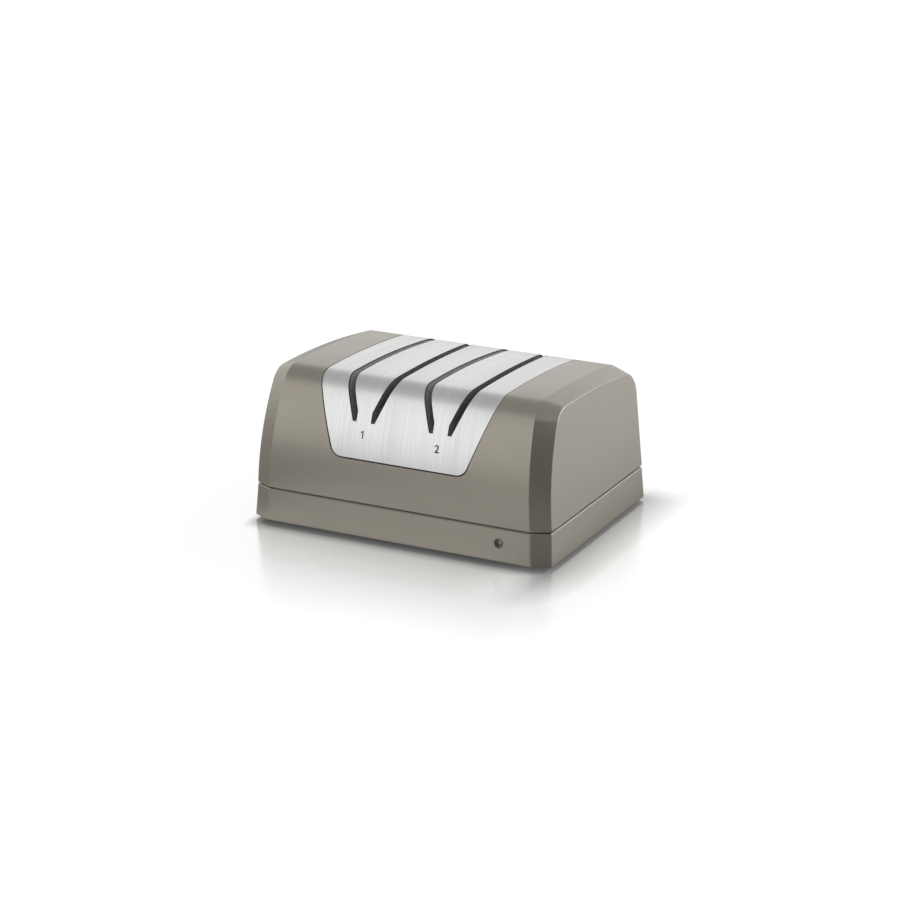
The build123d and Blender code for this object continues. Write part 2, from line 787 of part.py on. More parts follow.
# Battery cells in a trough-shaped holder
holder_length = cell_length + 2 * (holder_wall + cell_clearance)
cell_height = floor_top + holder_floor + cell_clearance + cell_radius
cell_back = battery_x - cell_length / 2
cell_spots = [(battery_y + side * cell_spacing / 2, cell_height) for side in (-1, 1)]

with BuildPart() as battery_holder:
    with BuildSketch(Plane.XY.offset(floor_top)):
        with Locations((battery_x, battery_y)):
            Rectangle(holder_length, holder_depth)
    extrude(amount=holder_height)
    with BuildSketch(cross_plane(cell_back - cell_clearance)):
        with Locations(*cell_spots):
            Circle(cell_radius + cell_clearance)
    extrude(amount=cell_length + 2 * cell_clearance, mode=Mode.SUBTRACT)

with BuildPart() as battery_cells:
    with BuildSketch(cross_plane(cell_back)):
        with Locations(*cell_spots):
            Circle(cell_radius)
    extrude(amount=cell_length)

# Control board with the lamp's light source, and the lens in the front wall
with BuildPart() as control_board:
    with BuildSketch(Plane.XY.offset(board_bottom)):
        with Locations(control_board_middle):
            Rectangle(control_board_length, control_board_depth)
    extrude(amount=board_thickness)

with BuildPart() as lamp_led:
    with BuildSketch(Plane.XY.offset(board_top)):
        with Locations((lamp_x, control_board_front)):
            Rectangle(led_block, led_block, align=(Align.CENTER, Align.MIN))
    extrude(amount=lamp_height + led_radius - board_top)
    with BuildSketch(wall_plane(lamp_x, control_board_front, lamp_height)):
        RegularPolygon(led_radius, screw_sides)
    extrude(amount=-led_length)

with BuildPart() as lamp_lens:
    with BuildSketch(lamp_plane.offset(lamp_recess_depth)):
        Circle(lens_radius)
    extrude(amount=hollow_inset - lamp_recess_depth)

# Charge board with its socket behind the rear wall
with BuildPart() as charge_board:
    with BuildSketch(Plane.XY.offset(board_bottom)):
        with Locations(charge_board_middle):
            Rectangle(charge_board_length, charge_board_depth)
    extrude(amount=board_thickness)

with BuildPart() as charge_socket:
    with BuildSketch(socket_plane):
        SlotOverall(socket_width, socket_height)
        SlotOverall(socket_width - 2 * socket_shell, socket_height - 2 * socket_shell, mode=Mode.SUBTRACT)
    extrude(amount=-socket_depth)
    with BuildSketch(socket_plane.offset(-socket_depth)):
        SlotOverall(socket_width, socket_height)
    extrude(amount=socket_shell)
    with BuildSketch(socket_plane.offset(-socket_depth)):
        Rectangle(socket_tongue_width, socket_tongue_height)
    extrude(amount=socket_depth - socket_shell)
    with BuildSketch(Plane.XY.offset(board_top)):
        with Locations((rear_fitting_x, charge_board_rear)):
            Rectangle(socket_width - socket_height, socket_depth, align=(Align.CENTER, Align.MAX))
    extrude(amount=rear_fitting_height - socket_height / 2 - board_top)

# Power button in the rear wall and the switch behind it
switch_front = fitting_inside - button_flange - button_travel - lip_clearance

with BuildPart() as power_button:
    flange_face = fitting_inside - lip_clearance
    with BuildSketch(button_plane):
        Circle(button_radius)
    extrude(amount=flange_face - button_face)
    chamfer(power_button.edges().filter_by(GeomType.CIRCLE).sort_by(Axis.Y)[-1], button_edge)
    with BuildSketch(wall_plane(-rear_fitting_x, flange_face, rear_fitting_height)):
        Rectangle(2 * button_flange_reach, 2 * button_flange_reach)
    extrude(amount=-button_flange)

with BuildPart() as power_switch:
    with BuildSketch(Plane.XY.offset(floor_top)):
        with Locations((-rear_fitting_x, switch_front)):
            Rectangle(switch_width, switch_depth, align=(Align.CENTER, Align.MAX))
    extrude(amount=rear_fitting_height + button_flange_reach - floor_top)

# Rubber feet, each set in a shallow recess
with BuildPart() as feet:
    extrude(foot_outline(0, 0), amount=foot_proud + foot_recess)

# Screws: through the base into the housing bosses, through the pedestal feet, and into the motor
with BuildPart() as housing_screws:
    with BuildSketch(Plane.XY.offset(base_bottom + screw_seat)):
        with Locations(*boss_spots):
            RegularPolygon(screw_head_radius, screw_sides)
    extrude(amount=-screw_head_height)
    with BuildSketch(Plane.XY.offset(base_bottom + screw_seat)):
        with Locations(*boss_spots):
            RegularPolygon(screw_radius - press_clearance, screw_sides)
    extrude(amount=boss_bottom + screw_bite - base_bottom - screw_seat - press_clearance)

with BuildPart() as pedestal_screws:
    with BuildSketch(Plane.XY.offset(floor_top + pedestal_foot_thickness)):
        with GridLocations(2 * pedestal_screw_x, pedestal_screw_spacing, 2, 2):
            RegularPolygon(screw_head_radius, screw_sides)
    extrude(amount=screw_head_height)
    with BuildSketch(Plane.XY.offset(floor_top + pedestal_foot_thickness)):
        with GridLocations(2 * pedestal_screw_x, pedestal_screw_spacing, 2, 2):
            RegularPolygon(screw_radius - press_clearance, screw_sides)
    extrude(amount=press_clearance - pedestal_foot_thickness - pedestal_screw_bite)

with BuildPart() as motor_screws:
    with BuildSketch(cross_plane(pedestal_outer_face)):
        with Locations(*motor_screw_spots):
            RegularPolygon(small_screw_head_radius, screw_sides)
    extrude(amount=small_screw_head_height)
    with BuildSketch(cross_plane(pedestal_outer_face)):
        with Locations(*motor_screw_spots):
            RegularPolygon(small_screw_radius - press_clearance, screw_sides)
    extrude(amount=-pedestal_thickness - small_screw_bite + press_clearance)

pieces = {
    "upper_housing": upper_housing,
    "base_tray": base_tray,
    "steel_saddle": steel_saddle,
    "blade_guide_1": blade_guide_1,
    "blade_guide_2": blade_guide_2,
    "spindle": spindle,
    "sharpening_disc_left": sharpening_disc_left,
    "sharpening_disc_right": sharpening_disc_right,
    "polishing_disc_left": polishing_disc_left,
    "polishing_disc_right": polishing_disc_right,
    "disc_spring_1": disc_spring_1,
    "disc_spring_2": disc_spring_2,
    "drive_pins": drive_pins,
    "spindle_clips": spindle_clips,
    "spindle_bushes": spindle_bushes,
    "left_pedestal": left_pedestal,
    "motor_pedestal": motor_pedestal,
    "spindle_gear": spindle_gear,
    "motor": motor,
    "motor_shaft": motor_shaft,
    "motor_pinion": motor_pinion,
    "battery_holder": battery_holder,
    "battery_cells": battery_cells,
    "control_board": control_board,
    "lamp_led": lamp_led,
    "lamp_lens": lamp_lens,
    "charge_board": charge_board,
    "charge_socket": charge_socket,
    "power_button": power_button,
    "power_switch": power_switch,
    "clean_out_cover": clean_out_cover,
    "filings_magnet": filings_magnet,
    "feet": feet,
    "housing_screws": housing_screws,
    "pedestal_screws": pedestal_screws,
    "motor_screws": motor_screws,
}

os.makedirs("parts", exist_ok=True)
for name, piece in pieces.items():
    piece.part.label = name
    export_step(piece.part, f"parts/{name}.step")
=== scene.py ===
"""Looks of a cordless knife sharpener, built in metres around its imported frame."""

import json
import logging
import math
from collections.abc import Callable, Iterable
from dataclasses import dataclass, field
from enum import Enum
from functools import cache

import bmesh
import bpy
from mathutils import Matrix, Vector
from mathutils.bvhtree import BVHTree
from mathutils.geometry import intersect_point_line


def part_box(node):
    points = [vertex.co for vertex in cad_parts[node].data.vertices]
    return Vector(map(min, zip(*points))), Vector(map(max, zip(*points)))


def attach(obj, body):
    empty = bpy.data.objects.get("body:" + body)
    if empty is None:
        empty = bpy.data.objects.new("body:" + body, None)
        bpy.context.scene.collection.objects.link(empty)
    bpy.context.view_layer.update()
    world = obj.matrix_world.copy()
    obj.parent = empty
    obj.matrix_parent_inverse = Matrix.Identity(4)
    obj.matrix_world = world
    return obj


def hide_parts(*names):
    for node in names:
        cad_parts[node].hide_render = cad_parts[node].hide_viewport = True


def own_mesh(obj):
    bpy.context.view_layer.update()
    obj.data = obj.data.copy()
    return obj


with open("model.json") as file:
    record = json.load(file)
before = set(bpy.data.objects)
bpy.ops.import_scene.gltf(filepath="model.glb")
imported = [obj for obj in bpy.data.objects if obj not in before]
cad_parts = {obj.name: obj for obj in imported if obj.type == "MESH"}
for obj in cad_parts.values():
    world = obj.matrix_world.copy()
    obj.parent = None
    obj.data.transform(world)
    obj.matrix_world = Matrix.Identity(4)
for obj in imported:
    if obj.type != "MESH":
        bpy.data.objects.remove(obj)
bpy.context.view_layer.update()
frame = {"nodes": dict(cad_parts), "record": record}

log = logging.getLogger("sharpener")
Socket = bpy.types.NodeSocket
Mesh = bmesh.types.BMesh
Edge = bmesh.types.BMEdge
Vert = bmesh.types.BMVert
Face = bmesh.types.BMFace
Triple = tuple[float, float, float]
Pair = tuple[float, float]
MM = 0.001
WHITE = (1.0, 1.0, 1.0, 1.0)
BLACK = (0.0, 0.0, 0.0, 1.0)
# Usual span of noise about its middle
NOISE_SPAN = (0.3, 0.7)
# Finer layers of noise in a grain, a cloud and brushed lines
GRAIN_LAYERS = 3.0
CLOUD_LAYERS = 2.0
BRUSH_LAYERS = 4.0
# Distance, and angle in degrees, within which corners and faces of a copied node are joined
MERGE = 0.01 * MM
FLAT_ANGLE = 0.4


class Body(Enum):
    """Moving bodies that pieces ride on."""

    ROOT = "root"
    SPINDLE = "spindle"


class NodeTree:
    """A shader node tree, with short calls to add and join nodes."""

    def __init__(self, tree: bpy.types.NodeTree) -> None:
        """Empties the tree."""
        self.tree = tree
        self.tree.nodes.clear()

    def add(self, kind: str, values: dict | None = None, **settings: object) -> bpy.types.Node:
        """Adds a node.

        Args:
            kind: Blender's name of the node type.
            values: Values for its input sockets, by socket name or number.
            settings: Values for the node's own properties.

        Returns:
            The new node.
        """
        node = self.tree.nodes.new(kind)
        for key, value in settings.items():
            setattr(node, key, value)
        for socket, value in (values or {}).items():
            node.inputs[socket].default_value = value
        return node

    def join(self, source: Socket, target: Socket) -> None:
        """Links an output socket to an input socket."""
        self.tree.links.new(source, target)

    def chain(self, source: Socket, kind: str, values: dict, **settings: object) -> Socket:
        """Adds a node fed by a socket, and gives its first output.

        Args:
            source: Socket that feeds its first input.
            kind: Blender's name of the node type.
            values: Values for its other inputs.
            settings: Values for the node's own properties.

        Returns:
            The new node's first output.
        """
        node = self.add(kind, values, **settings)
        self.join(source, node.inputs[0])
        return node.outputs[0]

    def math(self, operation: str, first: Socket, second: object) -> Socket:
        """Joins two numbers by a sum.

        Args:
            operation: Blender's name of the sum.
            first: Socket of the first number.
            second: Socket of the second number, or its value.

        Returns:
            The socket with the result.
        """
        node = self.add("ShaderNodeMath", operation=operation)
        self.join(first, node.inputs[0])
        if isinstance(second, Socket):
            self.join(second, node.inputs[1])
        else:
            node.inputs[1].default_value = second
        return node.outputs["Value"]

    def measure(self, operation: str, first: Socket, second: Triple) -> Socket:
        """Measures a vector against another one.

        Args:
            operation: Blender's name of the measure.
            first: Socket of the vector.
            second: The other vector.

        Returns:
            The socket with the measure.
        """
        node = self.add("ShaderNodeVectorMath", {1: second}, operation=operation)
        self.join(first, node.inputs[0])
        return node.outputs["Value"]

    def span(
        self, source: Socket, start: float, end: float, first: float, last: float, smooth: bool = False
    ) -> Socket:
        """Maps a number from one span to another, and holds it at the ends.

        Args:
            source: Socket of the number.
            start: Start of the span it comes from.
            end: End of that span.
            first: Result at the start.
            last: Result at the end.
            smooth: Whether the result eases in and out.

        Returns:
            The socket with the result.
        """
        values = {"From Min": start, "From Max": end, "To Min": first, "To Max": last}
        kind = "SMOOTHSTEP" if smooth else "LINEAR"
        return self.chain(source, "ShaderNodeMapRange", values, interpolation_type=kind)

    def mix(self, share: Socket, first: Socket, second: Socket) -> Socket:
        """Mixes two shaders.

        Args:
            share: Share of the second shader.
            first: The first shader.
            second: The second shader.

        Returns:
            The mixed shader.
        """
        node = self.add("ShaderNodeMixShader")
        for socket, target in zip((share, first, second), node.inputs):
            self.join(socket, target)
        return node.outputs["Shader"]


class ShaderTree(NodeTree):
    """A material's node tree with a Principled shader."""

    def __init__(self, name: str) -> None:
        """Starts a material with an output and a Principled shader.

        Args:
            name: Name of the material.
        """
        self.material = bpy.data.materials.new(name)
        self.material.use_nodes = True
        super().__init__(self.material.node_tree)
        self.output = self.add("ShaderNodeOutputMaterial")
        self.shader = self.add("ShaderNodeBsdfPrincipled")
        self.join(self.shader.outputs["BSDF"], self.output.inputs["Surface"])

    def set(self, **values: object) -> None:
        """Sets constants on the Principled shader, with _ for the spaces of a socket's name."""
        for key, value in values.items():
            self.shader.inputs[key.replace("_", " ")].default_value = value

    def noise(self, scale: Triple, detail: float) -> Socket:
        """Adds noise in object space.

        Args:
            scale: Repeats per metre along X, Y and Z.
            detail: Number of finer layers.

        Returns:
            The socket with values about 0.5.
        """
        spot = self.add("ShaderNodeTexCoord").outputs["Object"]
        spread = self.chain(spot, "ShaderNodeMapping", {"Scale": scale})
        return self.chain(spread, "ShaderNodeTexNoise", {"Scale": 1.0, "Detail": detail})

    def ranged(self, source: Socket, low: float, high: float) -> Socket:
        """Maps noise from its usual span to a low and a high value."""
        return self.span(source, *NOISE_SPAN, low, high)

    def tint(self, source: Socket, first: Triple, second: Triple) -> Socket:
        """Mixes two colours by noise.

        Args:
            source: Socket with the noise.
            first: Colour at its low end.
            second: Colour at its high end.

        Returns:
            The socket with the mixed colour.
        """
        ramp = self.add("ShaderNodeValToRGB")
        for stop, position, colour in zip(ramp.color_ramp.elements, NOISE_SPAN, (first, second)):
            stop.position = position
            stop.color = (*colour, 1.0)
        self.join(source, ramp.inputs["Fac"])
        return ramp.outputs["Color"]

    def bump(self, source: Socket, height: float) -> None:
        """Raises the surface by noise.

        Args:
            source: Socket with the noise.
            height: Height of the relief in metres.
        """
        bump = self.add("ShaderNodeBump", {"Strength": 1.0, "Distance": height})
        self.join(source, bump.inputs["Height"])
        self.drive("Normal", bump.outputs["Normal"])

    def drive(self, name: str, source: Socket) -> None:
        """Drives an input of the Principled shader."""
        self.join(source, self.shader.inputs[name])


@dataclass(frozen=True)
class Grained:
    """A finish with a fine even grain: paint, moulded plastic, rubber, board or plain metal."""

    name: str
    dark: Triple
    light: Triple
    metallic: float = 0.0
    smooth: float = 0.4
    rough: float = 0.5
    grain: float = 900.0
    relief: float = 0.00001
    coat: float = 0.0
    coat_rough: float = 0.2
    cloud: float = 40.0

    def material(self) -> bpy.types.Material:
        """Builds the finish.

        Returns:
            Its material.
        """
        tree = ShaderTree(self.name)
        tree.set(Metallic=self.metallic, Coat_Weight=self.coat, Coat_Roughness=self.coat_rough)
        grain = tree.noise((self.grain,) * 3, GRAIN_LAYERS)
        cloud = tree.noise((self.cloud,) * 3, CLOUD_LAYERS)
        tree.drive("Base Color", tree.tint(grain, self.dark, self.light))
        tree.drive("Roughness", tree.ranged(cloud, self.smooth, self.rough))
        tree.bump(grain, self.relief)
        return tree.material


@dataclass(frozen=True)
class Brushed:
    """Brushed stainless steel, its lines running over front, top and rear."""

    name: str
    dark: Triple
    light: Triple
    lines: float = 1500.0
    run: float = 9.0
    broad_lines: float = 125.0
    broad_run: float = 4.5
    stretch: float = 0.55
    smooth: float = 0.24
    rough: float = 0.36
    relief: float = 0.000004

    def material(self) -> bpy.types.Material:
        """Builds the finish.

        Returns:
            Its material.
        """
        tree = ShaderTree(self.name)
        tree.set(Metallic=1.0, Anisotropic=self.stretch)
        fine = tree.noise((self.lines, self.run, self.run), BRUSH_LAYERS)
        broad = tree.noise((self.broad_lines, self.broad_run, self.broad_run), CLOUD_LAYERS)
        tree.drive("Base Color", tree.tint(broad, self.dark, self.light))
        tree.drive("Roughness", tree.ranged(fine, self.smooth, self.rough))
        tree.bump(fine, self.relief)
        tangent = tree.add("ShaderNodeTangent", direction_type="RADIAL", axis="X")
        tree.drive("Tangent", tangent.outputs["Tangent"])
        return tree.material


@dataclass(frozen=True)
class Abrasive:
    """Metal or resin with bonded grit."""

    name: str
    dark: Triple
    light: Triple
    metallic: float
    grit: float = 2200.0
    cloud: float = 300.0
    smooth: float = 0.45
    rough: float = 0.7
    relief: float = 0.00006

    def material(self) -> bpy.types.Material:
        """Builds the finish.

        Returns:
            Its material.
        """
        tree = ShaderTree(self.name)
        tree.set(Metallic=self.metallic)
        spot = tree.add("ShaderNodeTexCoord").outputs["Object"]
        cells = tree.add("ShaderNodeTexVoronoi", {"Scale": self.grit})
        tree.join(spot, cells.inputs["Vector"])
        tree.drive("Base Color", tree.tint(cells.outputs["Distance"], self.light, self.dark))
        cloud = tree.noise((self.cloud,) * 3, GRAIN_LAYERS)
        tree.drive("Roughness", tree.ranged(cloud, self.smooth, self.rough))
        tree.bump(cells.outputs["Distance"], self.relief)
        return tree.material


@dataclass(frozen=True)
class Clear:
    """Clear moulded plastic, faintly clouded."""

    name: str
    dark: Triple
    light: Triple
    passes: float = 0.6
    bend: float = 1.49
    cloud: float = 500.0
    smooth: float = 0.12
    rough: float = 0.22

    def material(self) -> bpy.types.Material:
        """Builds the finish.

        Returns:
            Its material.
        """
        tree = ShaderTree(self.name)
        tree.set(Transmission_Weight=self.passes, IOR=self.bend)
        cloud = tree.noise((self.cloud,) * 3, CLOUD_LAYERS)
        tree.drive("Base Color", tree.tint(cloud, self.dark, self.light))
        tree.drive("Roughness", tree.ranged(cloud, self.smooth, self.rough))
        return tree.material


FINISHES: dict[str, Grained | Brushed | Abrasive | Clear] = {
    "housing": Grained(
        "taupe_paint", (0.33, 0.303, 0.254), (0.382, 0.352, 0.298), 0.7, 0.3, 0.34, 2600.0, 0.000004, 0.15
    ),
    "saddle_steel": Brushed("saddle_brushed", (0.77, 0.77, 0.765), (0.83, 0.83, 0.825)),
    "guide_plastic": Grained("guide_moulding", (0.32, 0.313, 0.295), (0.37, 0.362, 0.34), 0.0, 0.42, 0.52),
    "bright_steel": Grained(
        "ground_steel", (0.6, 0.6, 0.6), (0.7, 0.7, 0.7), 1.0, 0.25, 0.35, 1500.0, 0.000004
    ),
    "diamond_disc": Abrasive("diamond_coat", (0.3, 0.3, 0.29), (0.5, 0.5, 0.48), 0.8),
    "polishing_disc": Abrasive("resin_grit", (0.45, 0.4, 0.3), (0.62, 0.56, 0.45), 0.0),
    "bronze": Grained("sintered_bronze", (0.5, 0.33, 0.15), (0.65, 0.46, 0.24), 1.0, 0.35, 0.5, 1800.0),
    "black_plastic": Grained(
        "black_moulding", (0.025, 0.025, 0.025), (0.035, 0.035, 0.035), 0.0, 0.45, 0.6
    ),
    "gear_nylon": Grained("natural_nylon", (0.72, 0.71, 0.63), (0.8, 0.79, 0.72), 0.0, 0.35, 0.45),
    "motor_can": Grained(
        "plated_can", (0.55, 0.55, 0.55), (0.62, 0.62, 0.62), 1.0, 0.2, 0.3, 700.0, 0.000005
    ),
    "cell_wrap": Grained("cell_sleeve", (0.08, 0.2, 0.42), (0.1, 0.24, 0.48), 0.0, 0.25, 0.35, 400.0),
    "board": Grained("board_mask", (0.02, 0.16, 0.06), (0.03, 0.2, 0.08), 0.0, 0.25, 0.4, 600.0),
    "lamp": Clear("lamp_plastic", (0.36, 0.35, 0.3), (0.44, 0.43, 0.37), 0.3),
    "magnet": Grained(
        "nickel_plate", (0.5, 0.49, 0.47), (0.58, 0.57, 0.55), 1.0, 0.15, 0.25, 500.0, 0.000004
    ),
    "rubber": Grained(
        "foot_rubber", (0.015, 0.015, 0.015), (0.025, 0.025, 0.024), 0.0, 0.7, 0.85, 1200.0, 0.00003
    ),
}


SLOT_OF = {part["node"]: part["material_slot"] for part in frame["record"]["subparts"]}


@cache
def material_of(slot: str) -> bpy.types.Material:
    """Gives the material of one of the record's slots, made once."""
    return FINISHES[slot].material()


def copy_of(node: str) -> Mesh:
    """Copies a node's mesh, with its loose triangles merged and its flat faces joined.

    Args:
        node: Name of the node.

    Returns:
        The copy as a bmesh.
    """
    mesh = bmesh.new()
    mesh.from_mesh(frame["nodes"][node].data)
    bmesh.ops.remove_doubles(mesh, verts=mesh.verts, dist=MERGE)
    limit = math.radians(FLAT_ANGLE)
    bmesh.ops.dissolve_limit(mesh, angle_limit=limit, verts=mesh.verts, edges=mesh.edges)
    return mesh


def sharp_edges(mesh: Mesh, degrees: float, wanted: Callable[[Edge], bool]) -> list[Edge]:
    """Finds edges between two faces that meet at more than an angle.

    Args:
        mesh: The mesh.
        degrees: The angle.
        wanted: Test that an edge has to pass as well.

    Returns:
        The edges.
    """
    limit = math.radians(degrees)
    inner = [e for e in mesh.edges if len(e.link_faces) == 2]
    return [e for e in inner if e.calc_face_angle(0.0) > limit and wanted(e)]


def round_edges(mesh: Mesh, edges: list[Edge], radius: float, segments: int = 3) -> None:
    """Rounds edges of a mesh.

    Args:
        mesh: The mesh.
        edges: Its edges to round.
        radius: Radius in metres.
        segments: Number of faces across a rounding.
    """
    bmesh.ops.bevel(
        mesh,
        geom=edges,
        offset=radius,
        offset_type="OFFSET",
        segments=segments,
        profile=0.5,
        affect="EDGES",
        clamp_overlap=True,
        material=-1,
    )


def linked(mesh: Mesh, name: str, material: bpy.types.Material) -> bpy.types.Object:
    """Turns a bmesh into an object of the scene, and frees the bmesh.

    Args:
        mesh: The mesh.
        name: Name of the object.
        material: Its material.

    Returns:
        The object.
    """
    data = bpy.data.meshes.new(name)
    mesh.to_mesh(data)
    mesh.free()
    data.materials.append(material)
    piece = bpy.data.objects.new(name, data)
    bpy.context.scene.collection.objects.link(piece)
    return piece


def place(
    mesh: Mesh, name: str, body: Body, slot: str, replaced: tuple[str, ...] = (), smooth: float = 32.0
) -> bpy.types.Object:
    """Turns a bmesh into a piece that rides on a body.

    Args:
        mesh: The mesh, in place, in metres.
        name: Name of the piece.
        body: Body it rides on.
        slot: Material slot whose finish it takes.
        replaced: Nodes that it stands for.
        smooth: Largest angle in degrees that is shaded smooth.

    Returns:
        The piece.
    """
    piece = linked(mesh, name, material_of(slot))
    data = piece.data
    data.polygons.foreach_set("use_smooth", [True] * len(data.polygons))
    data.set_sharp_from_angle(angle=math.radians(smooth))
    even = piece.modifiers.new("even_normals", "WEIGHTED_NORMAL")
    even.keep_sharp = True
    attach(piece, body.value)
    if replaced:
        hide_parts(*replaced)
    log.info("%s: %d faces on %s", name, len(data.polygons), body.value)
    return piece


class SideOutline:
    """The curve over front, top and rear, with a normal at each of its points."""

    overshoot = 0.01

    def __init__(self, spots: list[Pair], near: float) -> None:
        """Sorts the points from the front foot to the rear foot and works out their normals.

        Args:
            spots: Points of the curve as Y and Z.
            near: Distance within which a point counts as on the curve.
        """
        self.near = near
        self.points = [Vector(spot) for spot in sorted(spots, key=lambda s: -math.atan2(s[1], s[0]))]
        steps = [b - a for a, b in zip(self.points, self.points[1:])]
        tangents = [steps[0].normalized()]
        for before, after in zip(steps, steps[1:]):
            tangent = before.normalized() * after.length + after.normalized() * before.length
            tangents.append(tangent.normalized())
        tangents.append(steps[-1].normalized())
        self.normals = [Vector((0.0, -t.y, t.x)) for t in tangents]

    def normal_at(self, y: float, z: float) -> Vector | None:
        """Gives the normal at a point of the curve.

        Args:
            y: Place from front to rear.
            z: Height.

        Returns:
            The normal, or nothing if the point is off the curve.
        """
        spot = Vector((y, z))
        best, found = self.near, None
        for index, (start, end) in enumerate(zip(self.points, self.points[1:])):
            foot, share = intersect_point_line(spot, start, end)
            gap = (spot - foot.to_2d()).length
            if gap < best and -self.overshoot < share < 1 + self.overshoot:
                best = gap
                found = self.normals[index].lerp(self.normals[index + 1], share).normalized()
        return found


def settle_normals(
    piece: bpy.types.Object, outline: SideOutline, flat_area: float = 60.0 * MM * MM, along: float = 0.97
) -> None:
    """Sets a piece's normals: those of the outline on faces that lie on it, square on other large faces.

    Args:
        piece: The piece.
        outline: Curve of its outside.
        flat_area: Area from which a face counts as large.
        along: Least cosine between the outline's normal and that of a face on it.
    """
    bpy.context.view_layer.update()
    shaped = piece.evaluated_get(bpy.context.evaluated_depsgraph_get())
    normals = [Vector(corner.vector) for corner in shaped.to_mesh().corner_normals]
    shaped.to_mesh_clear()
    piece.modifiers.clear()
    data = piece.data
    spots = [outline.normal_at(v.co.y, v.co.z) for v in data.vertices]
    for face in data.polygons:
        for corner in face.loop_indices:
            curved = spots[data.loops[corner].vertex_index]
            if curved and curved.dot(face.normal) > along:
                normals[corner] = curved
            elif face.area > flat_area:
                normals[corner] = face.normal.copy()
    data.normals_split_custom_set(normals)


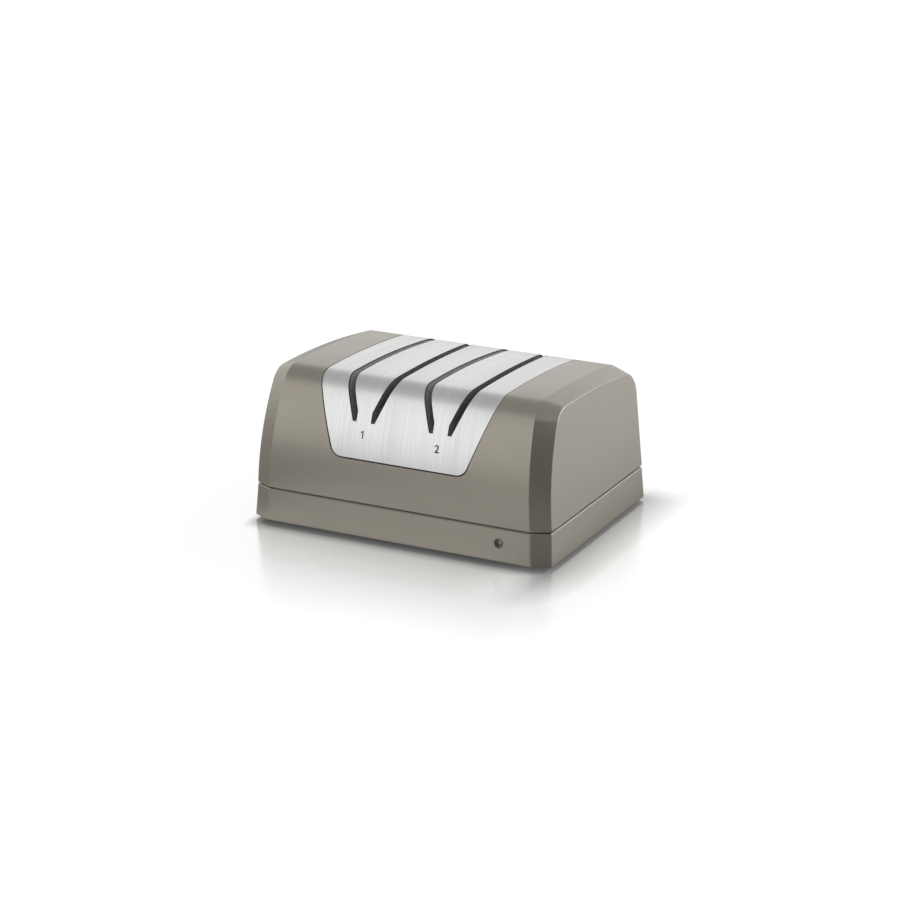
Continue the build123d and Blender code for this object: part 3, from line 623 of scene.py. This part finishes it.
@dataclass
class Casing:
    """The upper housing and the base tray, with softened edges."""

    half_length: float = 110.0 * MM
    half_depth: float = 81.5 * MM
    base_bottom: float = 2.0 * MM
    end_draft: float = 3.6
    base_draft: float = 4.5
    band_length: float = 12.5 * MM
    band_round: float = 1.3 * MM
    corner_round: float = 1.2 * MM
    foot_round: float = 1.0 * MM
    lamp_rim: float = 3.15 * MM
    lamp_round: float = 0.4 * MM
    gap_bottom: float = 24.0 * MM
    gap_top: float = 24.6 * MM
    gap_deeper: float = 1.5 * MM
    gap_taller: float = 0.5 * MM
    recess_shift: Pair = (-0.3 * MM, 0.65 * MM)
    recess_reach: Pair = (45.0 * MM, 70.0 * MM)
    recess_low: Pair = (54.0 * MM, 62.0 * MM)
    wall_bottom: float = 25.6 * MM
    upright: float = 10.0 * MM
    foot_end: float = 96.0 * MM
    foot_side: float = 80.0 * MM
    ledge_slack: float = 2.0 * MM
    level_limit: float = 0.1
    square_limit: float = 0.3
    soft_angle: float = 12.0
    sharp_angle: float = 40.0
    near: float = 0.06 * MM

    def end_x(self, height: float) -> float:
        """Gives half the length of the drafted ends at a height."""
        return self.half_length - (height - self.base_bottom) * math.tan(math.radians(self.end_draft))

    def face_y(self, height: float) -> float:
        """Gives half the depth of the base at a height."""
        return self.half_depth - (height - self.base_bottom) * math.tan(math.radians(self.base_draft))

    def close(self, gaps: Iterable[float]) -> bool:
        """Tells whether distances are all next to nothing."""
        return all(abs(gap) < self.near for gap in gaps)

    def on_band_edge(self, edge: Edge) -> bool:
        """Tells whether an edge lies on either side of a corner band."""
        gaps = [self.end_x(v.co.z) - abs(v.co.x) for v in edge.verts]
        return self.close(gaps) or self.close(gap - self.band_length for gap in gaps)

    def on_base_corner(self, edge: Edge) -> bool:
        """Tells whether an edge is an upright outer corner of the base.

        Args:
            edge: The edge.

        Returns:
            Whether it is one.
        """
        low, high = sorted(v.co.z for v in edge.verts)
        on_end = self.close(abs(v.co.x) - self.end_x(v.co.z) for v in edge.verts)
        on_face = self.close(abs(v.co.y) - self.face_y(v.co.z) for v in edge.verts)
        return high - low >= self.upright and (on_end or on_face)

    def on_base_foot(self, edge: Edge) -> bool:
        """Tells whether an edge runs round the outside of the base at its bottom."""
        low = self.close(v.co.z - self.base_bottom for v in edge.verts)
        return low and all(abs(v.co.x) > self.foot_end or abs(v.co.y) > self.foot_side for v in edge.verts)

    def on_lamp_rim(self, edge: Edge) -> bool:
        """Tells whether an edge runs round the mouth of the lamp's recess.

        Args:
            edge: The edge.

        Returns:
            Whether it does.
        """
        low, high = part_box("lamp_lens")
        middle = (low + high) / 2
        radii = [math.hypot(v.co.x - middle.x, v.co.z - middle.z) for v in edge.verts]
        gaps = [v.co.y + self.face_y(v.co.z) for v in edge.verts]
        return self.close(radius - self.lamp_rim for radius in radii) and self.close(gaps)

    def deepen_gap(self, mesh: Mesh) -> None:
        """Moves the ledge inside the parting gap inwards, so that the gap is a deep shadow line.

        Args:
            mesh: The base.
        """
        ledge = {
            v
            for face in mesh.faces
            if abs(face.normal.z) < self.level_limit
            and all(self.gap_bottom - self.near < v.co.z for v in face.verts)
            for v in face.verts
            if v.co.z < self.gap_top + self.near
        }
        inner = self.end_x(self.gap_bottom) - self.band_length - self.ledge_slack
        rim = [v for v in ledge if abs(v.co.x) > inner]
        outer = max(abs(v.co.y) for v in rim)
        for v in rim:
            if outer - abs(v.co.y) < self.band_length:
                v.co.x -= math.copysign(self.gap_deeper, v.co.x)
                v.co.y -= math.copysign(self.gap_deeper, v.co.y)

    def recess_walls(self, mesh: Mesh, outline: SideOutline) -> list[Face]:
        """Finds the walls of the saddle's recess, which stand square to the outside of the housing.

        Args:
            mesh: The housing.
            outline: Curve of its outside.

        Returns:
            The wall faces.
        """
        walls = []
        for face in mesh.faces:
            middle = face.calc_center_median()
            if abs(middle.x) > self.recess_reach[1] or middle.z <= self.wall_bottom:
                continue
            on = [outline.normal_at(v.co.y, v.co.z) for v in face.verts]
            outer = [normal for normal in on if normal]
            partly = 0 < len(outer) < len(on)
            if partly and abs(face.normal.dot(outer[0])) < self.square_limit:
                walls.append(face)
        return walls

    def shift_recess(self, corners: set[Vert]) -> None:
        """Moves the recess's left and right walls towards the saddle, closer at its right.

        Args:
            corners: Corners of the walls.
        """
        low, high = self.recess_low
        left, right = self.recess_shift
        for v in corners:
            if self.recess_reach[0] < abs(v.co.x) < self.recess_reach[1]:
                share = min(1.0, max(0.0, (v.co.z - low) / (high - low)))
                v.co.x -= share * (right if v.co.x > 0 else left)

    def outline(self) -> SideOutline:
        """Reads the side outline off the inner edge of the right corner band.

        Returns:
            The outline.
        """
        housing = copy_of("upper_housing")
        spots = [
            (v.co.y, v.co.z)
            for v in housing.verts
            if abs(self.end_x(v.co.z) - v.co.x - self.band_length) < self.near
        ]
        housing.free()
        return SideOutline(spots, self.near)

    def build(self) -> None:
        """Makes and dresses the two mouldings."""
        housing = copy_of("upper_housing")
        walls = self.recess_walls(housing, self.outline())
        self.shift_recess({v for face in walls for v in face.verts})
        for v in housing.verts:
            if abs(v.co.z - self.gap_top) < self.near:
                v.co.z += self.gap_taller
        round_edges(housing, sharp_edges(housing, self.soft_angle, self.on_band_edge), self.band_round)
        top = place(housing, "casing_top", Body.ROOT, "housing", ("upper_housing",))
        settle_normals(top, self.outline())
        base = copy_of("base_tray")
        self.deepen_gap(base)
        round_edges(base, sharp_edges(base, self.soft_angle, self.on_base_corner), self.corner_round)
        round_edges(base, sharp_edges(base, self.sharp_angle, self.on_base_foot), self.foot_round)
        round_edges(base, sharp_edges(base, self.sharp_angle, self.on_lamp_rim), self.lamp_round)
        tray = place(base, "casing_base", Body.ROOT, "housing", ("base_tray",))
        settle_normals(tray, self.outline())


@dataclass
class Saddle:
    """The brushed saddle with a black trim in its slots and a dark rubber seal round it as painted shade,
    and a plain number under each pair of slots.
    """

    edge_round: float = 0.22 * MM
    edge_angle: float = 30.0
    edge_steps: int = 2
    sheet: float = 0.7 * MM
    # The dark seal and the black slot trim set below are painted shade for the groove and the slots
    shade_seal_top: float = 0.3 * MM
    shade_seal_bottom: float = 1.7 * MM
    shade_seal_width: float = 0.95 * MM
    shade_trim: float = 0.35 * MM
    shade_trim_side: float = 1.0
    slot_bottom: float = 77.9 * MM
    slot_reach: float = 50.0 * MM
    number_height: float = 5.0 * MM
    number_bold: float = 0.14 * MM
    number_sink: float = 0.03 * MM
    number_rise: float = 0.05 * MM
    font_share: float = 0.7
    ray_start: float = -0.2
    one: tuple[Pair, ...] = (
        (0.03, -0.5),
        (0.19, -0.5),
        (0.19, 0.5),
        (0.06, 0.5),
        (-0.2, 0.32),
        (-0.2, 0.15),
        (0.03, 0.3),
    )
    numbers: dict[str, Pair] = field(
        default_factory=lambda: {"1": (-28.0 * MM, 70.4 * MM), "2": (27.0 * MM, 68.7 * MM)}
    )

    def figure_one(self) -> Mesh:
        """Makes a figure 1 with a flag, which the plain font lacks, lying flat about the origin.

        Returns:
            The figure as a bmesh.
        """
        mesh = bmesh.new()
        size = self.number_height
        thickness = self.number_rise + self.number_sink
        face = mesh.faces.new([mesh.verts.new((x * size, y * size, 0)) for x, y in self.one])
        made = bmesh.ops.extrude_face_region(mesh, geom=[face])
        raised = [v for v in made["geom"] if isinstance(v, Vert)]
        bmesh.ops.translate(mesh, verts=raised, vec=(0, 0, thickness))
        bmesh.ops.translate(mesh, verts=mesh.verts, vec=(0, 0, -thickness / 2))
        bmesh.ops.recalc_face_normals(mesh, faces=mesh.faces)
        return mesh

    def figure(self, text: str) -> Mesh:
        """Makes a figure of the plain font, lying flat about the origin.

        Args:
            text: The figure.

        Returns:
            The figure as a bmesh.
        """
        curve = bpy.data.curves.new("number_" + text, "FONT")
        curve.body = text
        curve.size = self.number_height / self.font_share
        curve.offset = self.number_bold
        curve.align_x = "CENTER"
        curve.align_y = "CENTER"
        curve.extrude = (self.number_rise + self.number_sink) / 2
        holder = bpy.data.objects.new("number_" + text, curve)
        bpy.context.scene.collection.objects.link(holder)
        flat = bpy.data.meshes.new_from_object(holder)
        bpy.data.objects.remove(holder)
        mesh = bmesh.new()
        mesh.from_mesh(flat)
        bpy.data.meshes.remove(flat)
        return mesh

    def number(self, text: str, x: float, z: float) -> Mesh:
        """Makes one number as a thin print on the front of the saddle.

        Args:
            text: The number.
            x: Place along the length.
            z: Height of its middle.

        Returns:
            The print as a bmesh, in place.
        """
        mesh = self.figure_one() if text == "1" else self.figure(text)
        saddle = frame["nodes"]["steel_saddle"].data
        faces = [face.vertices for face in saddle.polygons]
        surface = BVHTree.FromPolygons([v.co for v in saddle.vertices], faces)
        spot, normal, _, _ = surface.ray_cast(Vector((x, self.ray_start, z)), Vector((0, 1, 0)))
        across = Vector((1, 0, 0))
        turn = Matrix((across, normal.cross(across), normal)).transposed().to_4x4()
        lift = normal * (self.number_rise - self.number_sink) / 2
        bmesh.ops.transform(mesh, matrix=Matrix.Translation(spot + lift) @ turn, verts=mesh.verts)
        return mesh

    def cut_edges(self, outline: SideOutline, in_slots: bool) -> Mesh:
        """Copies the cut edges of the sheet, either in the slots or round the outside.

        Args:
            outline: Curve of the sheet's outer side.
            in_slots: Whether the edges of the slots are wanted.

        Returns:
            The cut faces as a bmesh.
        """
        mesh = copy_of("steel_saddle")
        spare = []
        for face in mesh.faces:
            middle = face.calc_center_median()
            slot = abs(middle.x) < self.slot_reach and middle.z > self.slot_bottom
            sides = {outline.normal_at(v.co.y, v.co.z) is None for v in face.verts}
            if len(sides) < 2 or slot != in_slots:
                spare.append(face)
        bmesh.ops.delete(mesh, geom=spare, context="FACES")
        return mesh

    def build_shade_trim(self, casing: Casing, outline: SideOutline) -> None:
        """Paints shade into the slots with a thin black trim on their cut edges, and into the groove round
        the sheet with a dark rubber seal.

        Args:
            casing: The casing, whose recess the dark seal of painted shade fills.
            outline: Curve of the sheet's outer side.
        """
        # Black strips on the slots' cut edges, as painted shade for the gaps under the sheet
        shade_trim = place(self.cut_edges(outline, True), "slot_shade_trim", Body.ROOT, "black_plastic")
        solid = shade_trim.modifiers.new("thickness", "SOLIDIFY")
        solid.thickness = self.shade_trim
        solid.offset = self.shade_trim_side
        # A dark rubber band round the sheet, as painted shade for the groove
        shade_seal = self.cut_edges(outline, False)
        inward = SideOutline([tuple(point) for point in outline.points], 2 * self.sheet)
        for v in shade_seal.verts:
            outer = outline.normal_at(v.co.y, v.co.z)
            step = self.shade_seal_top if outer else self.shade_seal_bottom - self.sheet
            v.co -= step * (outer or inward.normal_at(v.co.y, v.co.z) or Vector((0, 0, 0)))
        shade_seal.normal_update()
        ways = [v.normal.copy() for v in shade_seal.verts]
        inner = list(shade_seal.verts)
        made = bmesh.ops.extrude_face_region(shade_seal, geom=shade_seal.faces[:])
        spots = {tuple(v.co): way for v, way in zip(inner, ways)}
        outer_side = {v for v in made["geom"] if isinstance(v, Vert)}
        for v in outer_side:
            v.co += spots[tuple(v.co)] * self.shade_seal_width
        casing.shift_recess(outer_side)
        bmesh.ops.recalc_face_normals(shade_seal, faces=shade_seal.faces)
        place(shade_seal, "saddle_shade_seal", Body.ROOT, "rubber")

    def build(self, casing: Casing) -> None:
        """Makes and dresses the saddle and its numbers.

        Args:
            casing: The casing, along whose side outline the saddle is bent.
        """
        outline = casing.outline()
        self.build_shade_trim(casing, outline)
        saddle = copy_of("steel_saddle")
        edges = sharp_edges(saddle, self.edge_angle, lambda edge: True)
        round_edges(saddle, edges, self.edge_round, self.edge_steps)
        sheet = place(saddle, "saddle_sheet", Body.ROOT, "saddle_steel", ("steel_saddle",))
        settle_normals(sheet, outline)
        for text, (x, z) in self.numbers.items():
            place(self.number(text, x, z), "stage_number_" + text, Body.ROOT, "black_plastic")


@dataclass
class Lamp:
    """The domed lens of the lamp in the base."""

    dome: float = 0.7 * MM
    ring: float = 0.35 * MM
    steps: int = 32
    arc_angles: tuple[float, ...] = (0.0, 0.4, 0.8, 1.2, math.pi / 2)
    merge: float = 0.001 * MM
    smooth: float = 40.0

    def build(self) -> None:
        """Makes the lens as a spun dome with a flat rim, where the plain lens is."""
        low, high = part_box("lamp_lens")
        middle = (low + high) / 2
        radius = (high.x - low.x) / 2
        mesh = bmesh.new()
        dome_radius = radius - self.ring
        back = high.y - low.y - self.dome
        arc = [(dome_radius * math.sin(t), -self.dome * math.cos(t)) for t in self.arc_angles]
        profile = [*arc, (radius, 0.0), (radius, back), (0.0, back)]
        corners = [mesh.verts.new((middle.x + r, low.y + self.dome + y, middle.z)) for r, y in profile]
        edges = [mesh.edges.new(pair) for pair in zip(corners, corners[1:])]
        bmesh.ops.spin(
            mesh,
            geom=[*corners, *edges],
            cent=middle,
            axis=(0, 1, 0),
            angle=2 * math.pi,
            steps=self.steps,
            use_merge=True,
        )
        bmesh.ops.remove_doubles(mesh, verts=mesh.verts, dist=self.merge)
        bmesh.ops.recalc_face_normals(mesh, faces=mesh.faces)
        place(mesh, "lamp_dome", Body.ROOT, "lamp", ("lamp_lens",), self.smooth)


@dataclass
class Feet:
    """Rubber feet with soft edges."""

    edge_round: float = 0.6 * MM
    edge_angle: float = 20.0

    def build(self) -> None:
        """Makes and dresses the four feet."""
        feet = copy_of("feet")
        round_edges(feet, sharp_edges(feet, self.edge_angle, lambda edge: True), self.edge_round)
        place(feet, "foot_pads", Body.ROOT, "rubber", ("feet",))


@dataclass
class DiscSprings:
    """Wound springs between the discs of each pair, each made as two halves."""

    wire: float = 0.45 * MM
    wire_sides: int = 10
    turns: int = 2
    steps: int = 28
    travel: float = 1.5 * MM

    def half(self, node: str, side: int) -> Mesh:
        """Winds the half of a spring that lies to one side of its middle.

        Args:
            node: Name of the plain spring.
            side: 1 for the right half, -1 for the left half.

        Returns:
            The half as a bmesh, in place.
        """
        low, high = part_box(node)
        middle = (low + high) / 2
        start = middle + Vector((0, 0, (high.z - low.z) / 2 - self.wire))
        run = (high.x - low.x) / 2 - self.wire
        count = self.turns * self.steps
        mesh = bmesh.new()
        upright = Matrix.Translation(start) @ Matrix.Rotation(math.pi / 2, 4, "X")
        bmesh.ops.create_circle(mesh, segments=self.wire_sides, radius=self.wire, matrix=upright)
        bmesh.ops.spin(
            mesh,
            geom=[*mesh.verts, *mesh.edges],
            cent=middle,
            axis=(1, 0, 0),
            dvec=(side * run / count, 0, 0),
            angle=side * 2 * math.pi * self.turns,
            steps=count,
            use_merge=False,
        )
        bmesh.ops.holes_fill(mesh, edges=mesh.edges, sides=self.wire_sides)
        bmesh.ops.recalc_face_normals(mesh, faces=mesh.faces)
        return mesh

    def build(self) -> None:
        """Makes and dresses both springs, each in two halves that ride on the spindle."""
        for node, stage in (("disc_spring_1", "sharpening"), ("disc_spring_2", "polishing")):
            for name, side in (("left", -1), ("right", 1)):
                replaced = (node,) if side < 0 else ()
                title = f"{stage}_coil_{name}"
                coil = place(self.half(node, side), title, Body.SPINDLE, "bright_steel", replaced)
                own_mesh(coil)


@dataclass
class PowerSwitch:
    """The push switch behind the power button, with its plunger, which stays on the root."""

    front_setback: float = 0.3 * MM
    edge_round: float = 0.5 * MM
    edge_angle: float = 30.0
    tip_angle: float = 40.0
    plunger_sides: int = 32
    plunger_radius: float = 2.2 * MM
    plunger_round: float = 0.3 * MM
    plunger_root: float = 72.9 * MM
    plunger_tip: float = 74.45 * MM
    plunger_pressed: float = 73.25 * MM
    near: float = 0.01 * MM

    def build(self) -> None:
        """Makes and dresses the switch's body and its plunger."""
        _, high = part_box("power_switch")
        body = copy_of("power_switch")
        for v in body.verts:
            if abs(v.co.y - high.y) < self.near:
                v.co.y -= self.front_setback
        round_edges(body, sharp_edges(body, self.edge_angle, lambda edge: True), self.edge_round)
        place(body, "switch_body", Body.ROOT, "black_plastic", ("power_switch",))
        button_low, button_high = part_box("power_button")
        button = (button_low + button_high) / 2
        middle = Vector((button.x, (self.plunger_root + self.plunger_tip) / 2, button.z))
        mesh = bmesh.new()
        bmesh.ops.create_cone(
            mesh,
            cap_ends=True,
            segments=self.plunger_sides,
            radius1=self.plunger_radius,
            radius2=self.plunger_radius,
            depth=self.plunger_tip - self.plunger_root,
            matrix=Matrix.Translation(middle) @ Matrix.Rotation(math.pi / 2, 4, "X"),
        )
        tip = sharp_edges(mesh, self.tip_angle, lambda edge: all(v.co.y > middle.y for v in edge.verts))
        round_edges(mesh, tip, self.plunger_round)
        plunger = place(mesh, "switch_plunger", Body.ROOT, "bright_steel")
        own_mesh(plunger)


def dress_nodes() -> None:
    """Gives every node the finish of its slot, as all that a node needs whose own shape is right."""
    for node, piece in frame["nodes"].items():
        piece.data.materials.clear()
        piece.data.materials.append(material_of(SLOT_OF[node]))
        log.info("%s: dressed in %s", node, SLOT_OF[node])


@dataclass(frozen=True)
class SoftBox:
    """A square soft light, its power in watts, and whether shiny surfaces show it."""

    name: str
    spot: Triple
    size: float
    power: float
    mirrored: bool


@dataclass
class Studio:
    """White floor, soft lights and the camera."""

    azimuth: float = 26.855
    elevation: float = 18.873
    distance: float = 1812.9 * MM
    target: Triple = (-0.213 * MM, -2.044 * MM, 42.11 * MM)
    focal_share: float = 2691.5 / 900
    sensor: float = 36.0
    clip: Pair = (0.01, 200.0)
    floor_reach: float = 30.0
    floor_grey: float = 0.86
    floor_rough: float = 0.6
    floor_shine: float = 0.1
    floor_lift: float = 0.65
    floor_white: float = 1.22
    footprint: Triple = (105.0 * MM, 78.0 * MM, 0.0)
    sight_share: Triple = (2.2, 1.12, 0.0)
    mirror_reach: float = 165.0 * MM
    mirror_fade: float = 1.5
    mirror_share: float = 0.74
    mirror_blur: float = 0.18
    # Reach and strength of the shadow painted on the floor round the object, and of the painted shade at
    # its right
    contact_reach: float = 23.0 * MM
    contact_dark: float = 0.66
    contact_left: Pair = (-120.0 * MM, -100.0 * MM)
    contact_rear: Pair = (76.0 * MM, 100.0 * MM)
    shade_reach: float = 80.0 * MM
    shade_dark: float = 0.56
    shade_right: Pair = (90.0 * MM, 110.0 * MM)
    pale_middle: Triple = (120.0 * MM, -112.0 * MM, 0.0)
    pale_reach: float = 62.0 * MM
    pale_share: float = 0.5
    unlit_front: float = 0.7
    unlit_front_x: Pair = (40.0 * MM, 140.0 * MM)
    unlit_front_y: Pair = (-40.0 * MM, -120.0 * MM)
    unlit_left: float = 0.55
    unlit_left_x: Pair = (-100.0 * MM, -160.0 * MM)
    unlit_foot: float = 0.75
    unlit_foot_x: Triple = (95.0 * MM, 110.0 * MM, 170.0 * MM)
    crown_dark: float = 0.44
    crown_height: Pair = (0.4, 0.8)
    camera_dark: float = 0.2
    camera_way: Triple = (0.5, -0.84, -0.2)
    camera_near: Pair = (0.55, 0.9)
    front_bright: float = 1.11
    front_way: Triple = (-0.44, -0.86, 0.26)
    front_near: Pair = (0.6, 0.95)
    soft_strength: float = 0.55
    boxes: tuple[SoftBox, ...] = (
        SoftBox("front_left_box", (-1.5, -1.8, 1.0), 2.2, 13.0, False),
        SoftBox("rear_box", (0.4, 1.7, 1.7), 2.2, 16.0, False),
        SoftBox("right_box", (1.6, 1.3, 0.5), 1.4, 16.0, True),
    )
    flag_spot: Triple = (0.36, -0.55, 0.25)
    flag_size: float = 0.5
    flag_grey: float = 0.02

    def camera(self) -> None:
        """Places the camera at the fitted viewing angle."""
        turn, tilt = math.radians(self.azimuth), math.radians(self.elevation)
        back = Vector((math.sin(turn) * math.cos(tilt), -math.cos(turn) * math.cos(tilt), math.sin(tilt)))
        data = bpy.data.cameras.new("photo_camera")
        data.sensor_width = self.sensor
        data.lens = self.focal_share * self.sensor
        data.clip_start, data.clip_end = self.clip
        camera = bpy.data.objects.new("photo_camera", data)
        camera.location = Vector(self.target) + back * self.distance
        camera.rotation_mode = "QUATERNION"
        camera.rotation_quaternion = (-back).to_track_quat("-Z", "Y")
        bpy.context.scene.collection.objects.link(camera)
        bpy.context.scene.camera = camera

    def distance_from_object(self, tree: NodeTree, spot: Socket) -> Socket:
        """Works out how far a point of the floor is from the object, along the line of sight.

        Args:
            tree: Node tree of the floor.
            spot: Socket with the point.

        Returns:
            The socket with the distance in metres.
        """
        origin = (0.0, 0.0, 0.0)
        for operation, value in (
            ("ABSOLUTE", origin),
            ("SUBTRACT", self.footprint),
            ("MAXIMUM", origin),
            ("MULTIPLY", self.sight_share),
        ):
            spot = tree.chain(spot, "ShaderNodeVectorMath", {1: value}, operation=operation)
        return tree.measure("DISTANCE", spot, origin)

    def off_corner(self, tree: NodeTree, spot: Socket) -> Socket:
        """Pales the reflection in front of the right corner, where the dark corner band would show.

        Args:
            tree: Node tree of the floor.
            spot: Socket with the point.

        Returns:
            The socket with the share of the reflection that stays.
        """
        gap = tree.measure("DISTANCE", spot, self.pale_middle)
        return tree.span(gap, 0.0, self.pale_reach, self.pale_share, 1.0, True)

    def painted_contact_shadow(self, tree: NodeTree, away: Socket, x: Socket, y: Socket) -> Socket:
        """Paints a contact shadow on the floor close to the object, and painted shade further out at its
        right.

        Args:
            tree: Node tree of the floor.
            away: Socket with the distance from the object.
            x: Socket with the place along the length.
            y: Socket with the place from front to rear.

        Returns:
            The socket with the share of dark.
        """
        left = tree.span(x, *self.contact_left, 0.0, 1.0)
        beside = tree.math("MULTIPLY", left, tree.span(y, *self.contact_rear, 1.0, 0.0))
        close = tree.span(away, 0.0, self.contact_reach, self.contact_dark, 0.0, True)
        right = tree.span(x, *self.shade_right, 0.0, self.shade_dark)
        shade = tree.math("MULTIPLY", tree.span(away, 0.0, self.shade_reach, 1.0, 0.0), right)
        return tree.math("MULTIPLY", tree.math("MAXIMUM", close, shade), beside)

    def unlit(self, tree: NodeTree, x: Socket, y: Socket) -> Socket:
        """Darkens the parts of the floor that the paint mirrors as the unlit sides of a studio.

        Args:
            tree: Node tree of the floor.
            x: Socket with the place along the length.
            y: Socket with the place from front to rear.

        Returns:
            The socket with the share of dark.
        """
        across = tree.span(x, *self.unlit_front_x, 0.0, self.unlit_front, True)
        front = tree.math("MULTIPLY", across, tree.span(y, *self.unlit_front_y, 0.0, 1.0))
        left = tree.span(x, *self.unlit_left_x, 0.0, self.unlit_left)
        start, full, end = self.unlit_foot_x
        rise = tree.span(x, start, full, 0.0, 1.0)
        foot = tree.math("MULTIPLY", rise, tree.span(x, full, end, self.unlit_foot, 0.0))
        return tree.math("MAXIMUM", tree.math("MAXIMUM", front, left), foot)

    def floor(self) -> None:
        """Lays a white floor with a painted contact shadow, a fading reflection and painted unlit parts.
        """
        tree = ShaderTree("white_floor")
        grey = (self.floor_grey, self.floor_grey, self.floor_grey, 1.0)
        tree.set(Base_Color=grey, Roughness=self.floor_rough, Specular_IOR_Level=self.floor_shine)
        rays = tree.add("ShaderNodeLightPath").outputs
        glow = tree.add("ShaderNodeEmission", {"Color": WHITE, "Strength": self.floor_white})
        lift = tree.math("MULTIPLY", rays["Is Camera Ray"], self.floor_lift)
        white = tree.mix(lift, tree.shader.outputs["BSDF"], glow.outputs["Emission"])
        spot = tree.add("ShaderNodeTexCoord").outputs["Object"]
        away = self.distance_from_object(tree, spot)
        fade = tree.math("POWER", tree.span(away, 0.0, self.mirror_reach, 1.0, 0.0), self.mirror_fade)
        shown = tree.math("MULTIPLY", fade, self.mirror_share)
        shown = tree.math("MULTIPLY", shown, self.off_corner(tree, spot))
        mirror = tree.add("ShaderNodeBsdfGlossy", {"Color": WHITE, "Roughness": self.mirror_blur})
        polished = tree.mix(shown, white, mirror.outputs["BSDF"])
        split = tree.add("ShaderNodeSeparateXYZ")
        tree.join(spot, split.inputs["Vector"])
        x, y = split.outputs["X"], split.outputs["Y"]
        unlit = tree.math("MULTIPLY", self.unlit(tree, x, y), rays["Is Glossy Ray"])
        # Painted contact shadow, with painted unlit parts that only reflections see
        share = tree.math("MAXIMUM", self.painted_contact_shadow(tree, away, x, y), unlit)
        dark = tree.add("ShaderNodeBsdfDiffuse", {"Color": BLACK})
        tree.join(tree.mix(share, polished, dark.outputs["BSDF"]), tree.output.inputs["Surface"])
        mesh = bmesh.new()
        bmesh.ops.create_grid(mesh, x_segments=1, y_segments=1, size=self.floor_reach)
        floor = linked(mesh, "floor", tree.material)

    def world(self) -> None:
        """Sets a white surround, which reflections see darker overhead and behind the camera."""
        world = bpy.data.worlds.new("studio")
        bpy.context.scene.world = world
        world.use_nodes = True
        tree = NodeTree(world.node_tree)
        rays = tree.add("ShaderNodeLightPath").outputs
        aim = tree.add("ShaderNodeTexCoord").outputs["Generated"]
        split = tree.add("ShaderNodeSeparateXYZ")
        tree.join(aim, split.inputs["Vector"])
        crown = tree.span(split.outputs["Z"], *self.crown_height, 1.0, self.crown_dark)
        camera_share = tree.measure("DOT_PRODUCT", aim, self.camera_way)
        behind = tree.span(camera_share, *self.camera_near, 1.0, self.camera_dark)
        front_share = tree.measure("DOT_PRODUCT", aim, self.front_way)
        front = tree.span(front_share, *self.front_near, 1.0, self.front_bright)
        seen = tree.add("ShaderNodeBackground", {"Color": WHITE})
        shiny = tree.add("ShaderNodeBackground", {"Color": WHITE})
        soft = tree.add("ShaderNodeBackground", {"Color": WHITE, "Strength": self.soft_strength})
        strength = tree.math("MULTIPLY", tree.math("MULTIPLY", crown, behind), front)
        tree.join(strength, shiny.inputs["Strength"])
        mirrored = tree.math("MAXIMUM", rays["Is Glossy Ray"], rays["Is Transmission Ray"])
        lit = tree.mix(mirrored, soft.outputs["Background"], shiny.outputs["Background"])
        shown = tree.mix(rays["Is Camera Ray"], lit, seen.outputs["Background"])
        tree.join(shown, tree.add("ShaderNodeOutputWorld").inputs["Surface"])

    def lamp(self, box: SoftBox) -> None:
        """Hangs a soft light that points at the object.

        Args:
            box: The light.
        """
        data = bpy.data.lights.new(box.name, "AREA")
        data.size = box.size
        data.energy = box.power
        light = bpy.data.objects.new(box.name, data)
        light.location = box.spot
        light.visible_glossy = box.mirrored
        light.rotation_mode = "QUATERNION"
        light.rotation_quaternion = (Vector(self.target) - Vector(box.spot)).to_track_quat("-Z", "Y")
        bpy.context.scene.collection.objects.link(light)

    def flag(self, name: str) -> None:
        """Stands a dark card that only reflections see, as the unlit side of a studio.

        Args:
            name: Name of the card.
        """
        mesh = bmesh.new()
        bmesh.ops.create_grid(mesh, x_segments=1, y_segments=1, size=self.flag_size / 2)
        aim = Vector((*self.flag_spot[:2], 0.0)).to_track_quat("Z", "Y").to_matrix().to_4x4()
        bmesh.ops.transform(mesh, matrix=Matrix.Translation(self.flag_spot) @ aim, verts=mesh.verts)
        tree = ShaderTree("dark_card")
        tree.set(Base_Color=(self.flag_grey, self.flag_grey, self.flag_grey, 1.0), Roughness=1.0)
        card = linked(mesh, name, tree.material)
        card.visible_camera = False
        card.visible_diffuse = False
        card.visible_shadow = False
        card.visible_transmission = False

    def build(self) -> None:
        """Sets up the whole studio."""
        self.camera()
        self.floor()
        self.world()
        for box in self.boxes:
            self.lamp(box)
        self.flag("camera_side_flag")
        bpy.context.scene.view_settings.view_transform = "Standard"


def main() -> None:
    """Builds the looks piece by piece."""
    logging.basicConfig(level=logging.INFO)
    dress_nodes()
    casing = Casing()
    casing.build()
    Saddle().build(casing)
    Lamp().build()
    Feet().build()
    DiscSprings().build()
    PowerSwitch().build()
    Studio().build()


if __name__ == "__main__":
    main()
